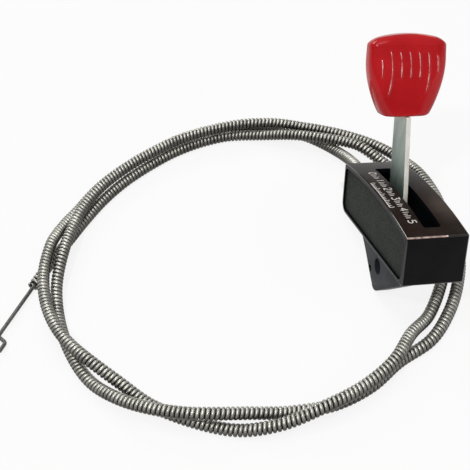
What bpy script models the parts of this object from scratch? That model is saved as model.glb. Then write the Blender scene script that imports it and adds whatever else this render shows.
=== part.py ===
"""Throttle control with its flexible cable, lying as it comes to rest on a flat surface.

The control is a moulded housing with a slotted crown and a mounting lug, a steel lever with a ribbed
knob, and a wire that the lever draws through a close-wound conduit. The conduit lies in a loose coil.
Lengths are in metres. In the control's own frame X runs across the housing, Y to its rear and Z up.
"""
import math

import bmesh
import bpy
from mathutils import Matrix, Vector

MM = 0.001

# Clearances
GAP = 0.30 * MM                  # between neighbouring pieces

# Housing, a one-piece moulding that is open below
HOUSING_LENGTH = 73.0 * MM
HOUSING_WIDTH = 25.0 * MM
REAR_HEIGHT = 20.0 * MM          # heights are from the frame's zero, a little above the lower edge
FRONT_HEIGHT = 18.5 * MM
CROWN_RISE = 3.1 * MM            # rise of the curved top above its straight chord
END_WALL = 2.0 * MM              # front, rear and top walls
SIDE_WALL = 1.6 * MM
EDGE_ROUND = 0.9 * MM
CROWN_STEPS = 14
LOWER_EDGE = -1.5 * MM
HEEL_ROUND = 5.0 * MM            # lower rear corner, in side view
HEEL_STEPS = 5

# Side covers, set into a recess inside a thin rim
RIM_WIDTH = 1.5 * MM
COVER_THICKNESS = 1.2 * MM
COVER_SETBACK = 0.9 * MM
COVER_ROUND = 0.35 * MM

# Mounting lug below the left side
LUG_THICKNESS = 6.5 * MM
LUG_INSET = 0.7 * MM             # lug face back from the housing's left side
LUG_DEPTH = 17.8 * MM
LUG_APEX_FROM_REAR = 44.5 * MM
LUG_TIP_RADIUS = 3.4 * MM
LUG_HEEL_FROM_REAR = 20.0 * MM   # where the lug's rear curve leaves the housing
LUG_BOLT_DIAMETER = 6.5 * MM
LUG_BOLT_FROM_REAR = 46.3 * MM
LUG_BOLT_DEPTH = 6.2 * MM
LUG_PIN_DIAMETER = 3.0 * MM
LUG_PIN_FROM_REAR = 38.6 * MM
LUG_PIN_DEPTH = 10.8 * MM
LUG_PIN_HOLE_LENGTH = 3.0 * MM
LUG_ROOT = 3.0 * MM
LUG_ROUND = 0.5 * MM
LUG_HOLLOW = 1.9                 # 1 is a plain square curve behind the lug, more is fuller
LUG_REAR_TURN = math.radians(-32)    # where the tip's arc starts

# Lever and its pivot
PIVOT_FROM_REAR = 33.1 * MM
PIVOT_HEIGHT = 4.5 * MM
LEVER_THICKNESS = 1.9 * MM
LEVER_FOOT_RADIUS = 5.6 * MM
LEVER_WIDTH_AT_SLOT = 15.5 * MM
LEVER_WIDTH_AT_KNOB = 13.0 * MM
TANG_WIDTH = 9.0 * MM            # the part of the lever inside the knob
LEVER_SHOULDER = 13.5 * MM       # height above the pivot where the lever is widest
LEVER_WAIST = 5.5 * MM           # below the shoulder the foot narrows, over this height
LEVER_SHOULDER_RUN = 3.0 * MM    # above it the edges start to draw in
LEVER_CHAMFER = 1.5 * MM
LEVER_LENGTH = 61.0 * MM         # pivot to the lever's top edge, inside the knob
LEVER_REST_LEAN = math.radians(7.6)    # to the rear, from square to the housing
LEVER_SWING = math.radians(50.0)       # forwards from square, which is 57 degrees from rest; 25 back
SLOT_WIDTH = 7.0 * MM
SLOT_REAR_END = 11.5 * MM        # both ends from the housing's rear face
SLOT_FRONT_END = 67.0 * MM
SLOT_CORNER = 1.2 * MM
PIVOT_RADIUS = 2.0 * MM
RIVET_HEAD_RADIUS = 3.6 * MM
RIVET_HEAD_THICKNESS = 1.0 * MM
BOSS_RADIUS = 4.2 * MM
WASHER_RADIUS = 4.6 * MM
WASHER_THICKNESS = 0.8 * MM
WAVE_WASHER_THICKNESS = 0.5 * MM
WAVE_HEIGHT = 0.3 * MM
WAVES = 3

# Knob
KNOB_WIDTH = 31.5 * MM
KNOB_FOOT_WIDTH = 19.7 * MM
KNOB_HEIGHT = 31.3 * MM
KNOB_THICKNESS = 13.2 * MM
KNOB_TOP_THICKNESS = 11.0 * MM
KNOB_FOOT = 46.4 * MM            # pivot to the knob's lower edge
KNOB_TOP_ARCH = 2.4 * MM
KNOB_CORNER = 4.5 * MM
KNOB_RIB_PITCH = 3.65 * MM
KNOB_RIB_DEPTH = 0.55 * MM
KNOB_RIB_LOW = 0.36              # ribs run between these shares of the knob's height
KNOB_RIB_HIGH = 0.98
KNOB_WIDEST = 0.80               # share of the height where the knob is widest
KNOB_FLARE = 0.85                # less than 1 spreads the foot sooner
KNOB_DRAW_IN = 0.15 * MM         # from there to the top, at each side
KNOB_SQUARENESS = 4.4            # 2 makes elliptic sections, more makes oblong ones
KNOB_BROAD = 0.88                # share of the half width that counts as the broad face
KNOB_TOP_EASE = 1.6              # more than 1 thins the knob later
KNOB_CROWN_ROWS = 7
KNOB_CROWN_END = 0.97            # share of the quarter turn that the rounded top edge makes
KNOB_CROWN_SLIM = 0.92           # share of the top edge's round that also draws in the thickness
KNOB_FACE_COLUMNS = 40
KNOB_END_COLUMNS = 6
KNOB_ROWS = 20

# Wire and conduit
WIRE_RADIUS = 0.8 * MM
WIRE_BEND = 1.7 * MM
CONDUIT_DIAMETER = 5.08 * MM
CONDUIT_HEIGHT = 12.5 * MM       # of its axis
HEAD_LENGTH_INSIDE = 15.8 * MM   # conduit inside the housing, from its rear face
HEAD_LENGTH_OUTSIDE = 3.5 * MM
LEAVES_STRAIGHT = (9.0 * MM, 19.0 * MM)    # points in line with the head, before the route
HEAD_BORE_END = 2.0 * MM         # solid length left at the closed end of a bore
WIRE_STUB = 11.0 * MM            # wire inside the conduit head at rest
HOOK_LEG = 3.2 * MM
HOLE_SIDE_CLEARANCE = 0.75 * MM  # wire to the sides of the lever's oblong hole
HOLE_END_CLEARANCE = 0.45 * MM
HOOK_SIDE_GAP = 0.35 * MM        # wire to the lever's broad faces
HOOK_BEND = 1.0 * MM             # radius of the wire's axis in the hook's two bends

# Clamp that holds the conduit in the housing
CLAMP_FROM_REAR = 9.5 * MM       # clamp middle, from the housing's rear face
CLAMP_LENGTH = 5.4 * MM
CLAMP_THICKNESS = 1.2 * MM
CLAMP_CORNER = 1.2 * MM
CLAMP_LIP = 1.5 * MM             # plate beyond the conduit, on the side without the screw
CLAMP_EDGE = 0.7 * MM            # plate beyond the screw's head
SCREW_WEB = 0.6 * MM             # block between the conduit's groove and the screw's hole
CLAMP_BLOCK_LENGTH = 6.0 * MM
SCREW_RADIUS = 1.2 * MM
SCREW_HEAD_RADIUS = 2.0 * MM
SCREW_HEAD_THICKNESS = 1.2 * MM
SCREW_LENGTH = 6.6 * MM

# Rest on the floor: the housing leans to its right, and its nose is up until lug and corner both touch
LEAN = math.radians(10.2)

# Cable loop, seen from above and placed from the control frame's zero
LOOP_CENTRE = Vector((-57.2, 21.2, 0.0)) * MM
OVER = CONDUIT_DIAMETER + 0.40 * MM    # height of a strand that lies over another
FLOOR_GAP = 0.05 * MM
ROUTE_STEP = math.radians(11.0)
TAIL_START = (163.5, 84.1)             # angle in degrees and radius in millimetres
TAIL_DIRECTION = math.radians(234.0)
TAIL_LENGTH = 18.0 * MM
TAIL_STUB = 6.0 * MM
ENGINE_WIRE_LENGTH = 28.0 * MM
JOG_LENGTH = 4.9 * MM
JOG_ANGLE = math.radians(68.0)
LAST_LEG = 4.7 * MM

# The conduit's route: angle round the loop in degrees, radius in millimetres, and height in strands
ROUTE = [
    (50, 77.8, 0), (57, 80.7, 0), (64, 82.3, 0), (74, 84.3, 0), (86, 85.6, 0), (98, 84.6, 0),
    (110, 83.4, 0), (122, 82.9, 0), (134, 83.2, 0), (146, 83.2, 0), (156, 84.0, 0.9), (167, 85.2, 1.15),
    (178, 86.6, 1.06), (189, 86.8, 1), (199, 86.1, 1), (209, 84.5, 1.05), (220, 83.1, 0.41),
    (231, 84.7, 0), (242, 86.4, 0), (253, 88.3, 0), (263, 88.5, 0.49), (272, 87.3, 1), (282, 85.4, 1),
    (292, 84.8, 1.15), (303, 79.3, 0.99), (315, 79.2, 0), (328, 79.5, 0), (340, 80.8, 0.23),
    (351, 82.3, 1.01), (362, 83.9, 1), (373, 85.0, 1), (385, 85.6, 0.7), (397, 83.9, 0.8),
    (408, 81.0, 1), (420, 80.1, 1.01), (432, 80.9, 1.06), (444, 79.6, 1.02), (457, 79.1, 1),
    (470, 77.6, 1), (484, 77.5, 1), (497, 78.3, 1), (510, 78.3, 1), (522, 78.3, 1), (533, 80.7, 0.7),
    (544, 83.3, 0), (554, 84.6, 0), (564, 87.2, 0), (575, 88.9, 0), (585, 89.0, 0.83),
    (595, 88.1, 1), (605, 86.1, 1.11), (615, 82.8, 0.53), (626, 82.3, 0), (636, 84.0, 0), (646, 83.7, 0),
    (657, 81.7, 0), (672, 85.7, 0), (687, 85.7, 0), (700, 86.6, 0), (710, 85.2, 0), (720, 83.5, 0),
    (731, 82.0, 0), (743, 80.2, 0.2), (755, 78.1, 1.14), (766, 75.2, 1.15), (777, 74.1, 1),
    (788, 75.7, 0.45), (800, 79.1, 0), (815, 78.4, 0), (835, 76.0, 0), (850, 76.0, 0), (865, 77.1, 0),
    (876, 79.8, 0),
]


def clear_scene():
    for item in list(bpy.data.objects):
        bpy.data.objects.remove(item, do_unlink=True)


def make_material(name, colour, roughness, metallic=0.0):
    result = bpy.data.materials.new(name)
    result.use_nodes = True
    shader = result.node_tree.nodes["Principled BSDF"]
    shader.inputs["Base Color"].default_value = (*colour, 1.0)
    shader.inputs["Roughness"].default_value = roughness
    shader.inputs["Metallic"].default_value = metallic
    return result


def make_empty(name, parent=None, location=(0, 0, 0), rotation=(0, 0, 0)):
    result = bpy.data.objects.new(name, None)
    bpy.context.scene.collection.objects.link(result)
    result.parent = parent
    result.location = location
    result.rotation_euler = rotation
    return result


def add_object(name, data, parent, surface=None, location=(0, 0, 0), rotation=(0, 0, 0)):
    result = bpy.data.objects.new(name, data)
    bpy.context.scene.collection.objects.link(result)
    result.parent = parent
    result.location = location
    result.rotation_euler = rotation
    if surface is not None:
        data.materials.append(surface)
    return result


def mesh_from(name, build, smooth_angle=None):
    """Make a mesh with a function that fills a bmesh, with its faces pointing out."""
    work = bmesh.new()
    build(work)
    bmesh.ops.recalc_face_normals(work, faces=work.faces)
    mesh = bpy.data.meshes.new(name)
    work.to_mesh(mesh)
    work.free()
    if smooth_angle is not None:
        mesh.shade_smooth()
        mesh.set_sharp_from_angle(angle=math.radians(smooth_angle))
    return mesh


def prism(name, outline, low, high, plane="YZ", smooth_angle=None):
    """Extrude a closed outline along the axis that its plane leaves out."""
    def place(u, v, w):
        return (w, u, v) if plane == "YZ" else (u, w, v)

    def build(work):
        start = [work.verts.new(place(u, v, low)) for u, v in outline]
        end = [work.verts.new(place(u, v, high)) for u, v in outline]
        work.faces.new(start)
        work.faces.new(list(reversed(end)))
        for i in range(len(outline)):
            j = (i + 1) % len(outline)
            work.faces.new((start[j], start[i], end[i], end[j]))

    return mesh_from(name, build, smooth_angle)


def turned(name, profile, segments, hollow=False, smooth_angle=35):
    """Turn a profile of (x, radius) about the X axis; a hollow one is a closed ring profile."""
    def build(work):
        rings = []
        for x, radius in profile:
            rings.append([
                work.verts.new((x, radius * math.cos(turn), radius * math.sin(turn)))
                for turn in (math.tau * i / segments for i in range(segments))
            ])
        pairs = list(zip(rings[:-1], rings[1:]))
        if hollow:
            pairs.append((rings[-1], rings[0]))
        for first, second in pairs:
            for i in range(segments):
                j = (i + 1) % segments
                work.faces.new((first[i], first[j], second[j], second[i]))
        if not hollow:
            work.faces.new(rings[0])
            work.faces.new(rings[-1])

    return mesh_from(name, build, smooth_angle)


def arc(centre, radius, start, end, steps):
    """Points along an arc in a plane, angles in radians."""
    return [
        (centre[0] + radius * math.cos(start + (end - start) * i / steps),
         centre[1] + radius * math.sin(start + (end - start) * i / steps))
        for i in range(steps + 1)
    ]


def rounded_oblong(left, right, front, rear, corner):
    """An oblong with rounded corners, counter-clockwise from its right rear one."""
    outline = []
    corners = ((right - corner, rear - corner), (left + corner, rear - corner),
               (left + corner, front + corner), (right - corner, front + corner))
    for i, centre in enumerate(corners):
        outline += arc(centre, corner, i * math.pi / 2, (i + 1) * math.pi / 2, 3)
    return outline


def add_boolean(target, tool, operation):
    tool.hide_render = True
    tool.display_type = "WIRE"
    change = target.modifiers.new(tool.name, "BOOLEAN")
    change.operation = operation
    change.solver = "EXACT"
    change.object = tool


def add_bevel(target, width, segments=2, angle=35):
    rounding = target.modifiers.new("rounded_edges", "BEVEL")
    rounding.width = width
    rounding.segments = segments
    rounding.limit_method = "ANGLE"
    rounding.angle_limit = math.radians(angle)
    rounding.harden_normals = False


def wire_curve(name, points, radius, resolution, parent, surface):
    """A round solid along a polyline, with closed ends."""
    curve = bpy.data.curves.new(name, "CURVE")
    curve.dimensions = "3D"
    curve.bevel_depth = radius
    curve.bevel_resolution = resolution
    curve.use_fill_caps = True
    spline = curve.splines.new("POLY")
    spline.points.add(len(points) - 1)
    for slot, point in zip(spline.points, points):
        slot.co = (*point, 1.0)
    spline.use_smooth = True
    return add_object(name, curve, parent, surface)


def rounded_path(corners, radius, steps=4):
    """Replace each inner corner of a path by an arc of the given radius."""
    points = [Vector(corners[0])]
    for before, corner, after in zip(corners[:-2], corners[1:-1], corners[2:]):
        corner = Vector(corner)
        inward = (Vector(before) - corner).normalized()
        outward = (Vector(after) - corner).normalized()
        half = inward.angle(outward) / 2
        reach = radius / math.tan(half)
        middle = corner + (inward + outward).normalized() * radius / math.sin(half)
        first = corner + inward * reach - middle
        last = corner + outward * reach - middle
        for i in range(steps + 1):
            points.append(middle + first.slerp(last, i / steps).normalized() * radius)
    points.append(Vector(corners[-1]))
    return points


# Places that follow from the sizes, in the control's own frame
REAR_Y = HOUSING_LENGTH / 2
SIDE_X = HOUSING_WIDTH / 2
RECESS_X = SIDE_X - COVER_SETBACK - COVER_THICKNESS - GAP     # outer plane of the side wall
INNER_X = RECESS_X - SIDE_WALL                               # inner plane of the side wall
PIVOT_Y = REAR_Y - PIVOT_FROM_REAR
WIRE_ARM = CONDUIT_HEIGHT - PIVOT_HEIGHT
CONDUIT_X = -(LEVER_THICKNESS / 2 + HOOK_SIDE_GAP + WIRE_RADIUS)
BORE_RADIUS = WIRE_RADIUS + GAP
GROOVE_RADIUS = CONDUIT_DIAMETER / 2 + GAP
SCREW_X = CONDUIT_X + GROOVE_RADIUS + SCREW_WEB + GAP + SCREW_RADIUS
CLAMP_LEFT = CONDUIT_X - GROOVE_RADIUS - CLAMP_LIP
CLAMP_RIGHT = SCREW_X + SCREW_HEAD_RADIUS + CLAMP_EDGE


def crown_circle():
    """Centre and radius of the curved top, through the tops of the rear and front walls."""
    rear = Vector((REAR_Y, REAR_HEIGHT))
    front = Vector((-REAR_Y, FRONT_HEIGHT))
    chord = (rear - front).length
    radius = chord * chord / (8 * CROWN_RISE) + CROWN_RISE / 2
    along = (rear - front).normalized()
    down = Vector((along.y, -along.x))
    centre = (rear + front) / 2 + down * (radius - CROWN_RISE)
    return centre, radius


def crown_height(y, inset=0.0):
    centre, radius = crown_circle()
    return centre.y + math.sqrt((radius - inset) ** 2 - (y - centre.x) ** 2)


def side_outline(inset, open_below=False):
    """The housing's side view, drawn in by an inset; an open one runs out below, inside the rounded heel."""
    end = REAR_Y - inset
    below = [(-end, LOWER_EDGE + inset)]
    if open_below:
        below = [(-end, LOWER_EDGE - inset), (REAR_Y - HEEL_ROUND, LOWER_EDGE - inset)]
    centre = (REAR_Y - HEEL_ROUND, LOWER_EDGE + HEEL_ROUND)
    heel = arc(centre, HEEL_ROUND - inset, -math.pi / 2, 0, HEEL_STEPS)
    top = [end - 2 * end * i / CROWN_STEPS for i in range(CROWN_STEPS + 1)]
    return below + heel + [(y, crown_height(y, inset)) for y in top]


def lug_outline():
    """The lug's side view: a hollow rear curve, a round tip and a straight run to the nose."""
    heel = REAR_Y - LUG_HEEL_FROM_REAR
    tip_y = REAR_Y - LUG_APEX_FROM_REAR
    tip_z = -LUG_DEPTH + LUG_TIP_RADIUS
    nose = -REAR_Y + EDGE_ROUND
    run = Vector((nose - tip_y, LOWER_EDGE - tip_z))
    front_turn = math.asin(LUG_TIP_RADIUS / run.length)
    front_angle = math.atan2(run.y, run.x) + math.pi / 2 - front_turn
    tip = arc((tip_y, tip_z), LUG_TIP_RADIUS, LUG_REAR_TURN, front_angle - math.tau, 8)
    leave = Vector(tip[0])
    hollow = []
    rear_steps = 8
    for i in range(rear_steps):
        t = i / rear_steps
        ease = t * t * (LUG_HOLLOW - (LUG_HOLLOW - 1) * t)
        hollow.append((heel + (leave.x - heel) * t, leave.y * ease))
    return [(nose, LUG_ROOT), (heel, LUG_ROOT)] + hollow + tip + [(nose, LOWER_EDGE)]


def build_housing(frame, surface):
    shell = add_object("housing", prism("housing", side_outline(0.0), -SIDE_X, SIDE_X), frame, surface)
    add_bevel(shell, EDGE_ROUND)

    hollow = prism("cut_cavity", side_outline(END_WALL, True), -INNER_X, INNER_X)
    cavity = add_object("cut_cavity", hollow, frame)
    add_boolean(shell, cavity, "DIFFERENCE")

    lug_left = -SIDE_X + LUG_INSET
    lug = add_object("add_lug", prism("add_lug", lug_outline(), lug_left, lug_left + LUG_THICKNESS), frame)
    add_bevel(lug, LUG_ROUND, 1, 50)
    add_boolean(shell, lug, "UNION")

    for side, name in ((-1, "left"), (1, "right")):
        inner = boss_face(side)
        profile = [(inner, BOSS_RADIUS), (INNER_X + SIDE_WALL / 2, BOSS_RADIUS)]
        boss = add_object("add_boss_" + name, turned("add_boss", profile, 24), frame, None,
                          (0, PIVOT_Y, PIVOT_HEIGHT), (0, 0, 0 if side > 0 else math.pi))
        add_boolean(shell, boss, "UNION")

    block_y = REAR_Y - CLAMP_FROM_REAR
    low = block_bottom()
    top = crown_height(block_y, END_WALL / 2)
    left = -INNER_X - SIDE_WALL / 2
    block_outline = [(left, low), (CLAMP_RIGHT, low), (CLAMP_RIGHT, top), (left, top)]
    half_block = CLAMP_BLOCK_LENGTH / 2
    block_mesh = prism("add_clamp_block", block_outline, block_y - half_block, block_y + half_block, "XZ")
    block = add_object("add_clamp_block", block_mesh, frame)
    add_boolean(shell, block, "UNION")

    for side, name in ((-1, "left"), (1, "right")):
        low_x, high_x = sorted((side * RECESS_X, side * (SIDE_X + END_WALL)))
        recess = add_object("cut_recess_" + name,
                            prism("cut_recess", side_outline(RIM_WIDTH), low_x, high_x), frame)
        add_boolean(shell, recess, "DIFFERENCE")

    head_seat = RIVET_HEAD_THICKNESS + GAP
    bore = [(-SIDE_X, RIVET_HEAD_RADIUS + GAP), (-RECESS_X + head_seat, RIVET_HEAD_RADIUS + GAP),
            (-RECESS_X + head_seat, PIVOT_RADIUS + GAP), (RECESS_X - head_seat, PIVOT_RADIUS + GAP),
            (RECESS_X - head_seat, RIVET_HEAD_RADIUS + GAP), (SIDE_X, RIVET_HEAD_RADIUS + GAP)]
    cut_turned(shell, frame, "cut_pivot_bore", bore, (0, PIVOT_Y, PIVOT_HEIGHT), (0, 0, 0), 24)

    slot_x = SLOT_WIDTH / 2
    slot = rounded_oblong(-slot_x, slot_x, REAR_Y - SLOT_FRONT_END, REAR_Y - SLOT_REAR_END, SLOT_CORNER)
    slot_mesh = prism_up("cut_slot", slot, REAR_HEIGHT - 2 * END_WALL, REAR_HEIGHT + 4 * END_WALL)
    cut = add_object("cut_slot", slot_mesh, frame)
    add_boolean(shell, cut, "DIFFERENCE")

    passage = [(-2 * END_WALL, GROOVE_RADIUS), (END_WALL, GROOVE_RADIUS)]
    cut_turned(shell, frame, "cut_conduit_passage", passage, (CONDUIT_X, REAR_Y, CONDUIT_HEIGHT),
               (0, 0, math.pi / 2), 20)

    outline = arc((CONDUIT_X, CONDUIT_HEIGHT), GROOVE_RADIUS, 0, math.pi, 10)
    outline += [(CONDUIT_X - GROOVE_RADIUS, low - END_WALL), (CONDUIT_X + GROOVE_RADIUS, low - END_WALL)]
    front = block_y - CLAMP_BLOCK_LENGTH
    back = block_y + CLAMP_BLOCK_LENGTH - GAP
    groove = add_object("cut_groove", prism("cut_groove", outline, front, back, "XZ"), frame)
    add_boolean(shell, groove, "DIFFERENCE")

    pilot = [(low - END_WALL, SCREW_RADIUS + GAP), (screw_seat() + SCREW_LENGTH + GAP, SCREW_RADIUS + GAP)]
    cut_turned(shell, frame, "cut_pilot", pilot, (SCREW_X, block_y, 0), (0, -math.pi / 2, 0), 12)

    bolt = [(-LUG_THICKNESS, LUG_BOLT_DIAMETER / 2), (2 * LUG_THICKNESS, LUG_BOLT_DIAMETER / 2)]
    cut_turned(shell, frame, "cut_lug_bolt", bolt, (lug_left, REAR_Y - LUG_BOLT_FROM_REAR, -LUG_BOLT_DEPTH),
               (0, 0, 0), 24)
    pin = [(-LUG_THICKNESS, LUG_PIN_DIAMETER / 2), (LUG_PIN_HOLE_LENGTH, LUG_PIN_DIAMETER / 2)]
    cut_turned(shell, frame, "cut_lug_pin", pin, (lug_left, REAR_Y - LUG_PIN_FROM_REAR, -LUG_PIN_DEPTH),
               (0, 0, 0), 16)
    return shell


def cut_turned(target, frame, name, profile, location, rotation, segments):
    tool = add_object(name, turned(name, profile, segments), frame, None, location, rotation)
    add_boolean(target, tool, "DIFFERENCE")


def prism_up(name, outline, low, high):
    """Extrude an outline of (x, y) upwards."""
    def build(work):
        start = [work.verts.new((x, y, low)) for x, y in outline]
        end = [work.verts.new((x, y, high)) for x, y in outline]
        work.faces.new(start)
        work.faces.new(end)
        for i in range(len(outline)):
            j = (i + 1) % len(outline)
            work.faces.new((start[i], start[j], end[j], end[i]))

    return mesh_from(name, build)


def boss_face(side):
    """Distance from the middle plane to the inner end of a pivot boss."""
    stack = LEVER_THICKNESS / 2 + GAP + WASHER_THICKNESS + GAP
    if side > 0:
        stack += WAVE_WASHER_THICKNESS + WAVE_HEIGHT + GAP
    return stack


def block_bottom():
    """Height of the clamp block's lower face, level with the underside of the conduit."""
    return CONDUIT_HEIGHT - CONDUIT_DIAMETER / 2


def screw_seat():
    return block_bottom() - GAP - CLAMP_THICKNESS - GAP


def build_covers(frame, surface):
    for side, name in ((-1, "left"), (1, "right")):
        outer = SIDE_X - COVER_SETBACK
        low, high = sorted((side * outer, side * (outer - COVER_THICKNESS)))
        outline = side_outline(RIM_WIDTH + GAP)
        cover = add_object(name + "_side_cover", prism("side_cover", outline, low, high), frame, surface)
        add_bevel(cover, COVER_ROUND, 1, 40)


def build_pivot(frame, steel, fibre, spring):
    place = (0, PIVOT_Y, PIVOT_HEIGHT)
    head = RECESS_X
    neck = head - RIVET_HEAD_THICKNESS
    round_off = RIVET_HEAD_THICKNESS * 0.35
    edge = RIVET_HEAD_RADIUS - round_off
    rivet = [(-head, edge), (-head + round_off, RIVET_HEAD_RADIUS), (-neck, RIVET_HEAD_RADIUS),
             (-neck, PIVOT_RADIUS), (neck, PIVOT_RADIUS),
             (neck, RIVET_HEAD_RADIUS), (head - round_off, RIVET_HEAD_RADIUS), (head, edge)]
    add_object("pivot_rivet", turned("pivot_rivet", rivet, 24), frame, steel, place)

    hole = PIVOT_RADIUS + GAP
    near = LEVER_THICKNESS / 2 + GAP
    far = near + WASHER_THICKNESS
    ring = [(near, hole), (near, WASHER_RADIUS), (far, WASHER_RADIUS), (far, hole)]
    for side, name in ((-1, "left"), (1, "right")):
        add_object(name + "_friction_washer", turned("friction_washer", ring, 28, True), frame, fibre, place,
                   (0, 0, 0 if side > 0 else math.pi))

    def build(work):
        segments = 36
        rings = []
        for radius, back in ((hole, 0), (WASHER_RADIUS, 0), (WASHER_RADIUS, 1), (hole, 1)):
            ring_points = []
            for i in range(segments):
                turn = math.tau * i / segments
                wave = WAVE_HEIGHT / 2 * (1 + math.cos(WAVES * turn))
                x = far + GAP + wave + back * WAVE_WASHER_THICKNESS
                ring_points.append(work.verts.new((x, radius * math.cos(turn), radius * math.sin(turn))))
            rings.append(ring_points)
        for first, second in zip(rings, rings[1:] + rings[:1]):
            for i in range(segments):
                j = (i + 1) % segments
                work.faces.new((first[i], first[j], second[j], second[i]))

    add_object("wave_washer", mesh_from("wave_washer", build, 40), frame, spring, place)


def build_lever(axis, surface):
    """A flat strip with a round foot, a pivot hole, an oblong hole for the wire and a tang for the knob."""
    wide = LEVER_WIDTH_AT_SLOT / 2
    neck = LEVER_WIDTH_AT_KNOB / 2
    tang = TANG_WIDTH / 2
    neck_top = KNOB_FOOT - GAP
    chamfer = LEVER_CHAMFER
    waist = LEVER_SHOULDER - LEVER_WAIST
    shoulder = LEVER_SHOULDER + LEVER_SHOULDER_RUN
    foot = arc((0, 0), LEVER_FOOT_RADIUS, math.radians(200), math.radians(340), 10)
    outline = foot + [(wide, waist), (wide, shoulder), (neck, neck_top), (tang, neck_top),
                      (tang, LEVER_LENGTH - chamfer), (tang - chamfer, LEVER_LENGTH),
                      (-tang + chamfer, LEVER_LENGTH), (-tang, LEVER_LENGTH - chamfer),
                      (-tang, neck_top), (-neck, neck_top), (-wide, shoulder), (-wide, waist)]
    half = LEVER_THICKNESS / 2
    lever = add_object("lever", prism("lever", outline, -half, half), axis, surface)
    bore = [(-LEVER_THICKNESS, PIVOT_RADIUS + GAP), (LEVER_THICKNESS, PIVOT_RADIUS + GAP)]
    cut_turned(lever, axis, "cut_lever_bore", bore, (0, 0, 0), (0, 0, 0), 24)

    nearest = WIRE_ARM
    furthest = WIRE_ARM / math.cos(LEVER_SWING)
    radius = WIRE_RADIUS + HOLE_SIDE_CLEARANCE
    low = nearest - WIRE_RADIUS - HOLE_END_CLEARANCE + radius
    high = furthest + WIRE_RADIUS + HOLE_END_CLEARANCE - radius
    oblong = arc((0, high), radius, 0, math.pi, 8) + arc((0, low), radius, math.pi, math.tau, 8)
    cut = add_object("cut_wire_hole", prism("cut_wire_hole", oblong, -LEVER_THICKNESS, LEVER_THICKNESS), axis)
    add_boolean(lever, cut, "DIFFERENCE")


def knob_half_width(share):
    """Half width at a share of the knob's height: a narrow foot that spreads to the grip."""
    foot = KNOB_FOOT_WIDTH / 2
    grip = KNOB_WIDTH / 2
    rise = min(share / KNOB_WIDEST, 1.0)
    width = foot + (grip - foot) * math.sin(rise * math.pi / 2) ** KNOB_FLARE
    return width - KNOB_DRAW_IN * max(0.0, share - KNOB_WIDEST) / (1 - KNOB_WIDEST)


def knob_half_thickness(share):
    """Half thickness at a share of the knob's height: even, then drawn in towards the top."""
    ease = max(0.0, 2 * share - 1) ** KNOB_TOP_EASE
    return (KNOB_THICKNESS + (KNOB_TOP_THICKNESS - KNOB_THICKNESS) * ease) / 2


def knob_section():
    """A rounded oblong of half width and half thickness 1, with its points closest on the broad faces."""
    def across(value):
        return (1 - abs(value) ** KNOB_SQUARENESS) ** (1 / KNOB_SQUARENESS)

    face = [-KNOB_BROAD + 2 * KNOB_BROAD * i / KNOB_FACE_COLUMNS for i in range(KNOB_FACE_COLUMNS + 1)]
    edge = across(KNOB_BROAD)
    end = [-edge + 2 * edge * i / KNOB_END_COLUMNS for i in range(1, KNOB_END_COLUMNS)]
    half = [(x, -across(x)) for x in face] + [(across(y), y) for y in end]
    return half + [(-x, -y) for x, y in half]


def knob_rib(x, share):
    """How far the grip's upright ribs stand out at a place on a broad face."""
    if not KNOB_RIB_LOW < share < KNOB_RIB_HIGH:
        return 0.0
    fade = math.sin(math.pi * (share - KNOB_RIB_LOW) / (KNOB_RIB_HIGH - KNOB_RIB_LOW)) ** 0.5
    return KNOB_RIB_DEPTH / 2 * fade * math.cos(math.tau * x / KNOB_RIB_PITCH)


def build_knob(axis, surface):
    """A lofted grip: rounded oblong sections stacked upwards, with upright ribs on both broad faces."""
    section = knob_section()
    columns = len(section)
    body_top = KNOB_HEIGHT - KNOB_CORNER
    rows = [(i / KNOB_ROWS, 0.0) for i in range(KNOB_ROWS + 1)]
    last_turn = math.pi / 2 * KNOB_CROWN_END
    rows += [(1.0, last_turn * i / KNOB_CROWN_ROWS) for i in range(1, KNOB_CROWN_ROWS + 1)]

    def row_point(u, v, share, turn):
        draw_in = KNOB_CORNER * (1 - math.cos(turn))
        x = u * (knob_half_width(share) - draw_in)
        y = v * (knob_half_thickness(share) - draw_in * KNOB_CROWN_SLIM)
        if turn == 0 and abs(u) < KNOB_BROAD:
            y += math.copysign(knob_rib(x, share), v)
        arch = KNOB_TOP_ARCH * (2 * x / KNOB_WIDTH) ** 2 * math.sin(turn)
        return x, y, KNOB_FOOT + share * body_top + KNOB_CORNER * math.sin(turn) - arch

    def build(work):
        rings = [[work.verts.new(row_point(u, v, *row)) for u, v in section] for row in rows]
        for first, second in zip(rings[:-1], rings[1:]):
            for i in range(columns):
                j = (i + 1) % columns
                work.faces.new((first[i], first[j], second[j], second[i]))
        work.faces.new(rings[0])
        bmesh.ops.triangulate(work, faces=[work.faces.new(rings[-1])])

    knob = add_object("lever_knob", mesh_from("lever_knob", build, 50), axis, surface)
    socket_x = LEVER_THICKNESS / 2 + GAP
    socket_y = TANG_WIDTH / 2 + GAP
    outline = [(-socket_y, KNOB_FOOT - END_WALL), (socket_y, KNOB_FOOT - END_WALL),
               (socket_y, LEVER_LENGTH + GAP), (-socket_y, LEVER_LENGTH + GAP)]
    socket = add_object("cut_knob_socket", prism("cut_knob_socket", outline, -socket_x, socket_x), axis)
    add_boolean(knob, socket, "DIFFERENCE")


def hook_place():
    """Where the wire crosses the lever at rest, in the control's frame."""
    return PIVOT_Y + WIRE_ARM * math.tan(LEVER_REST_LEAN)


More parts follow.
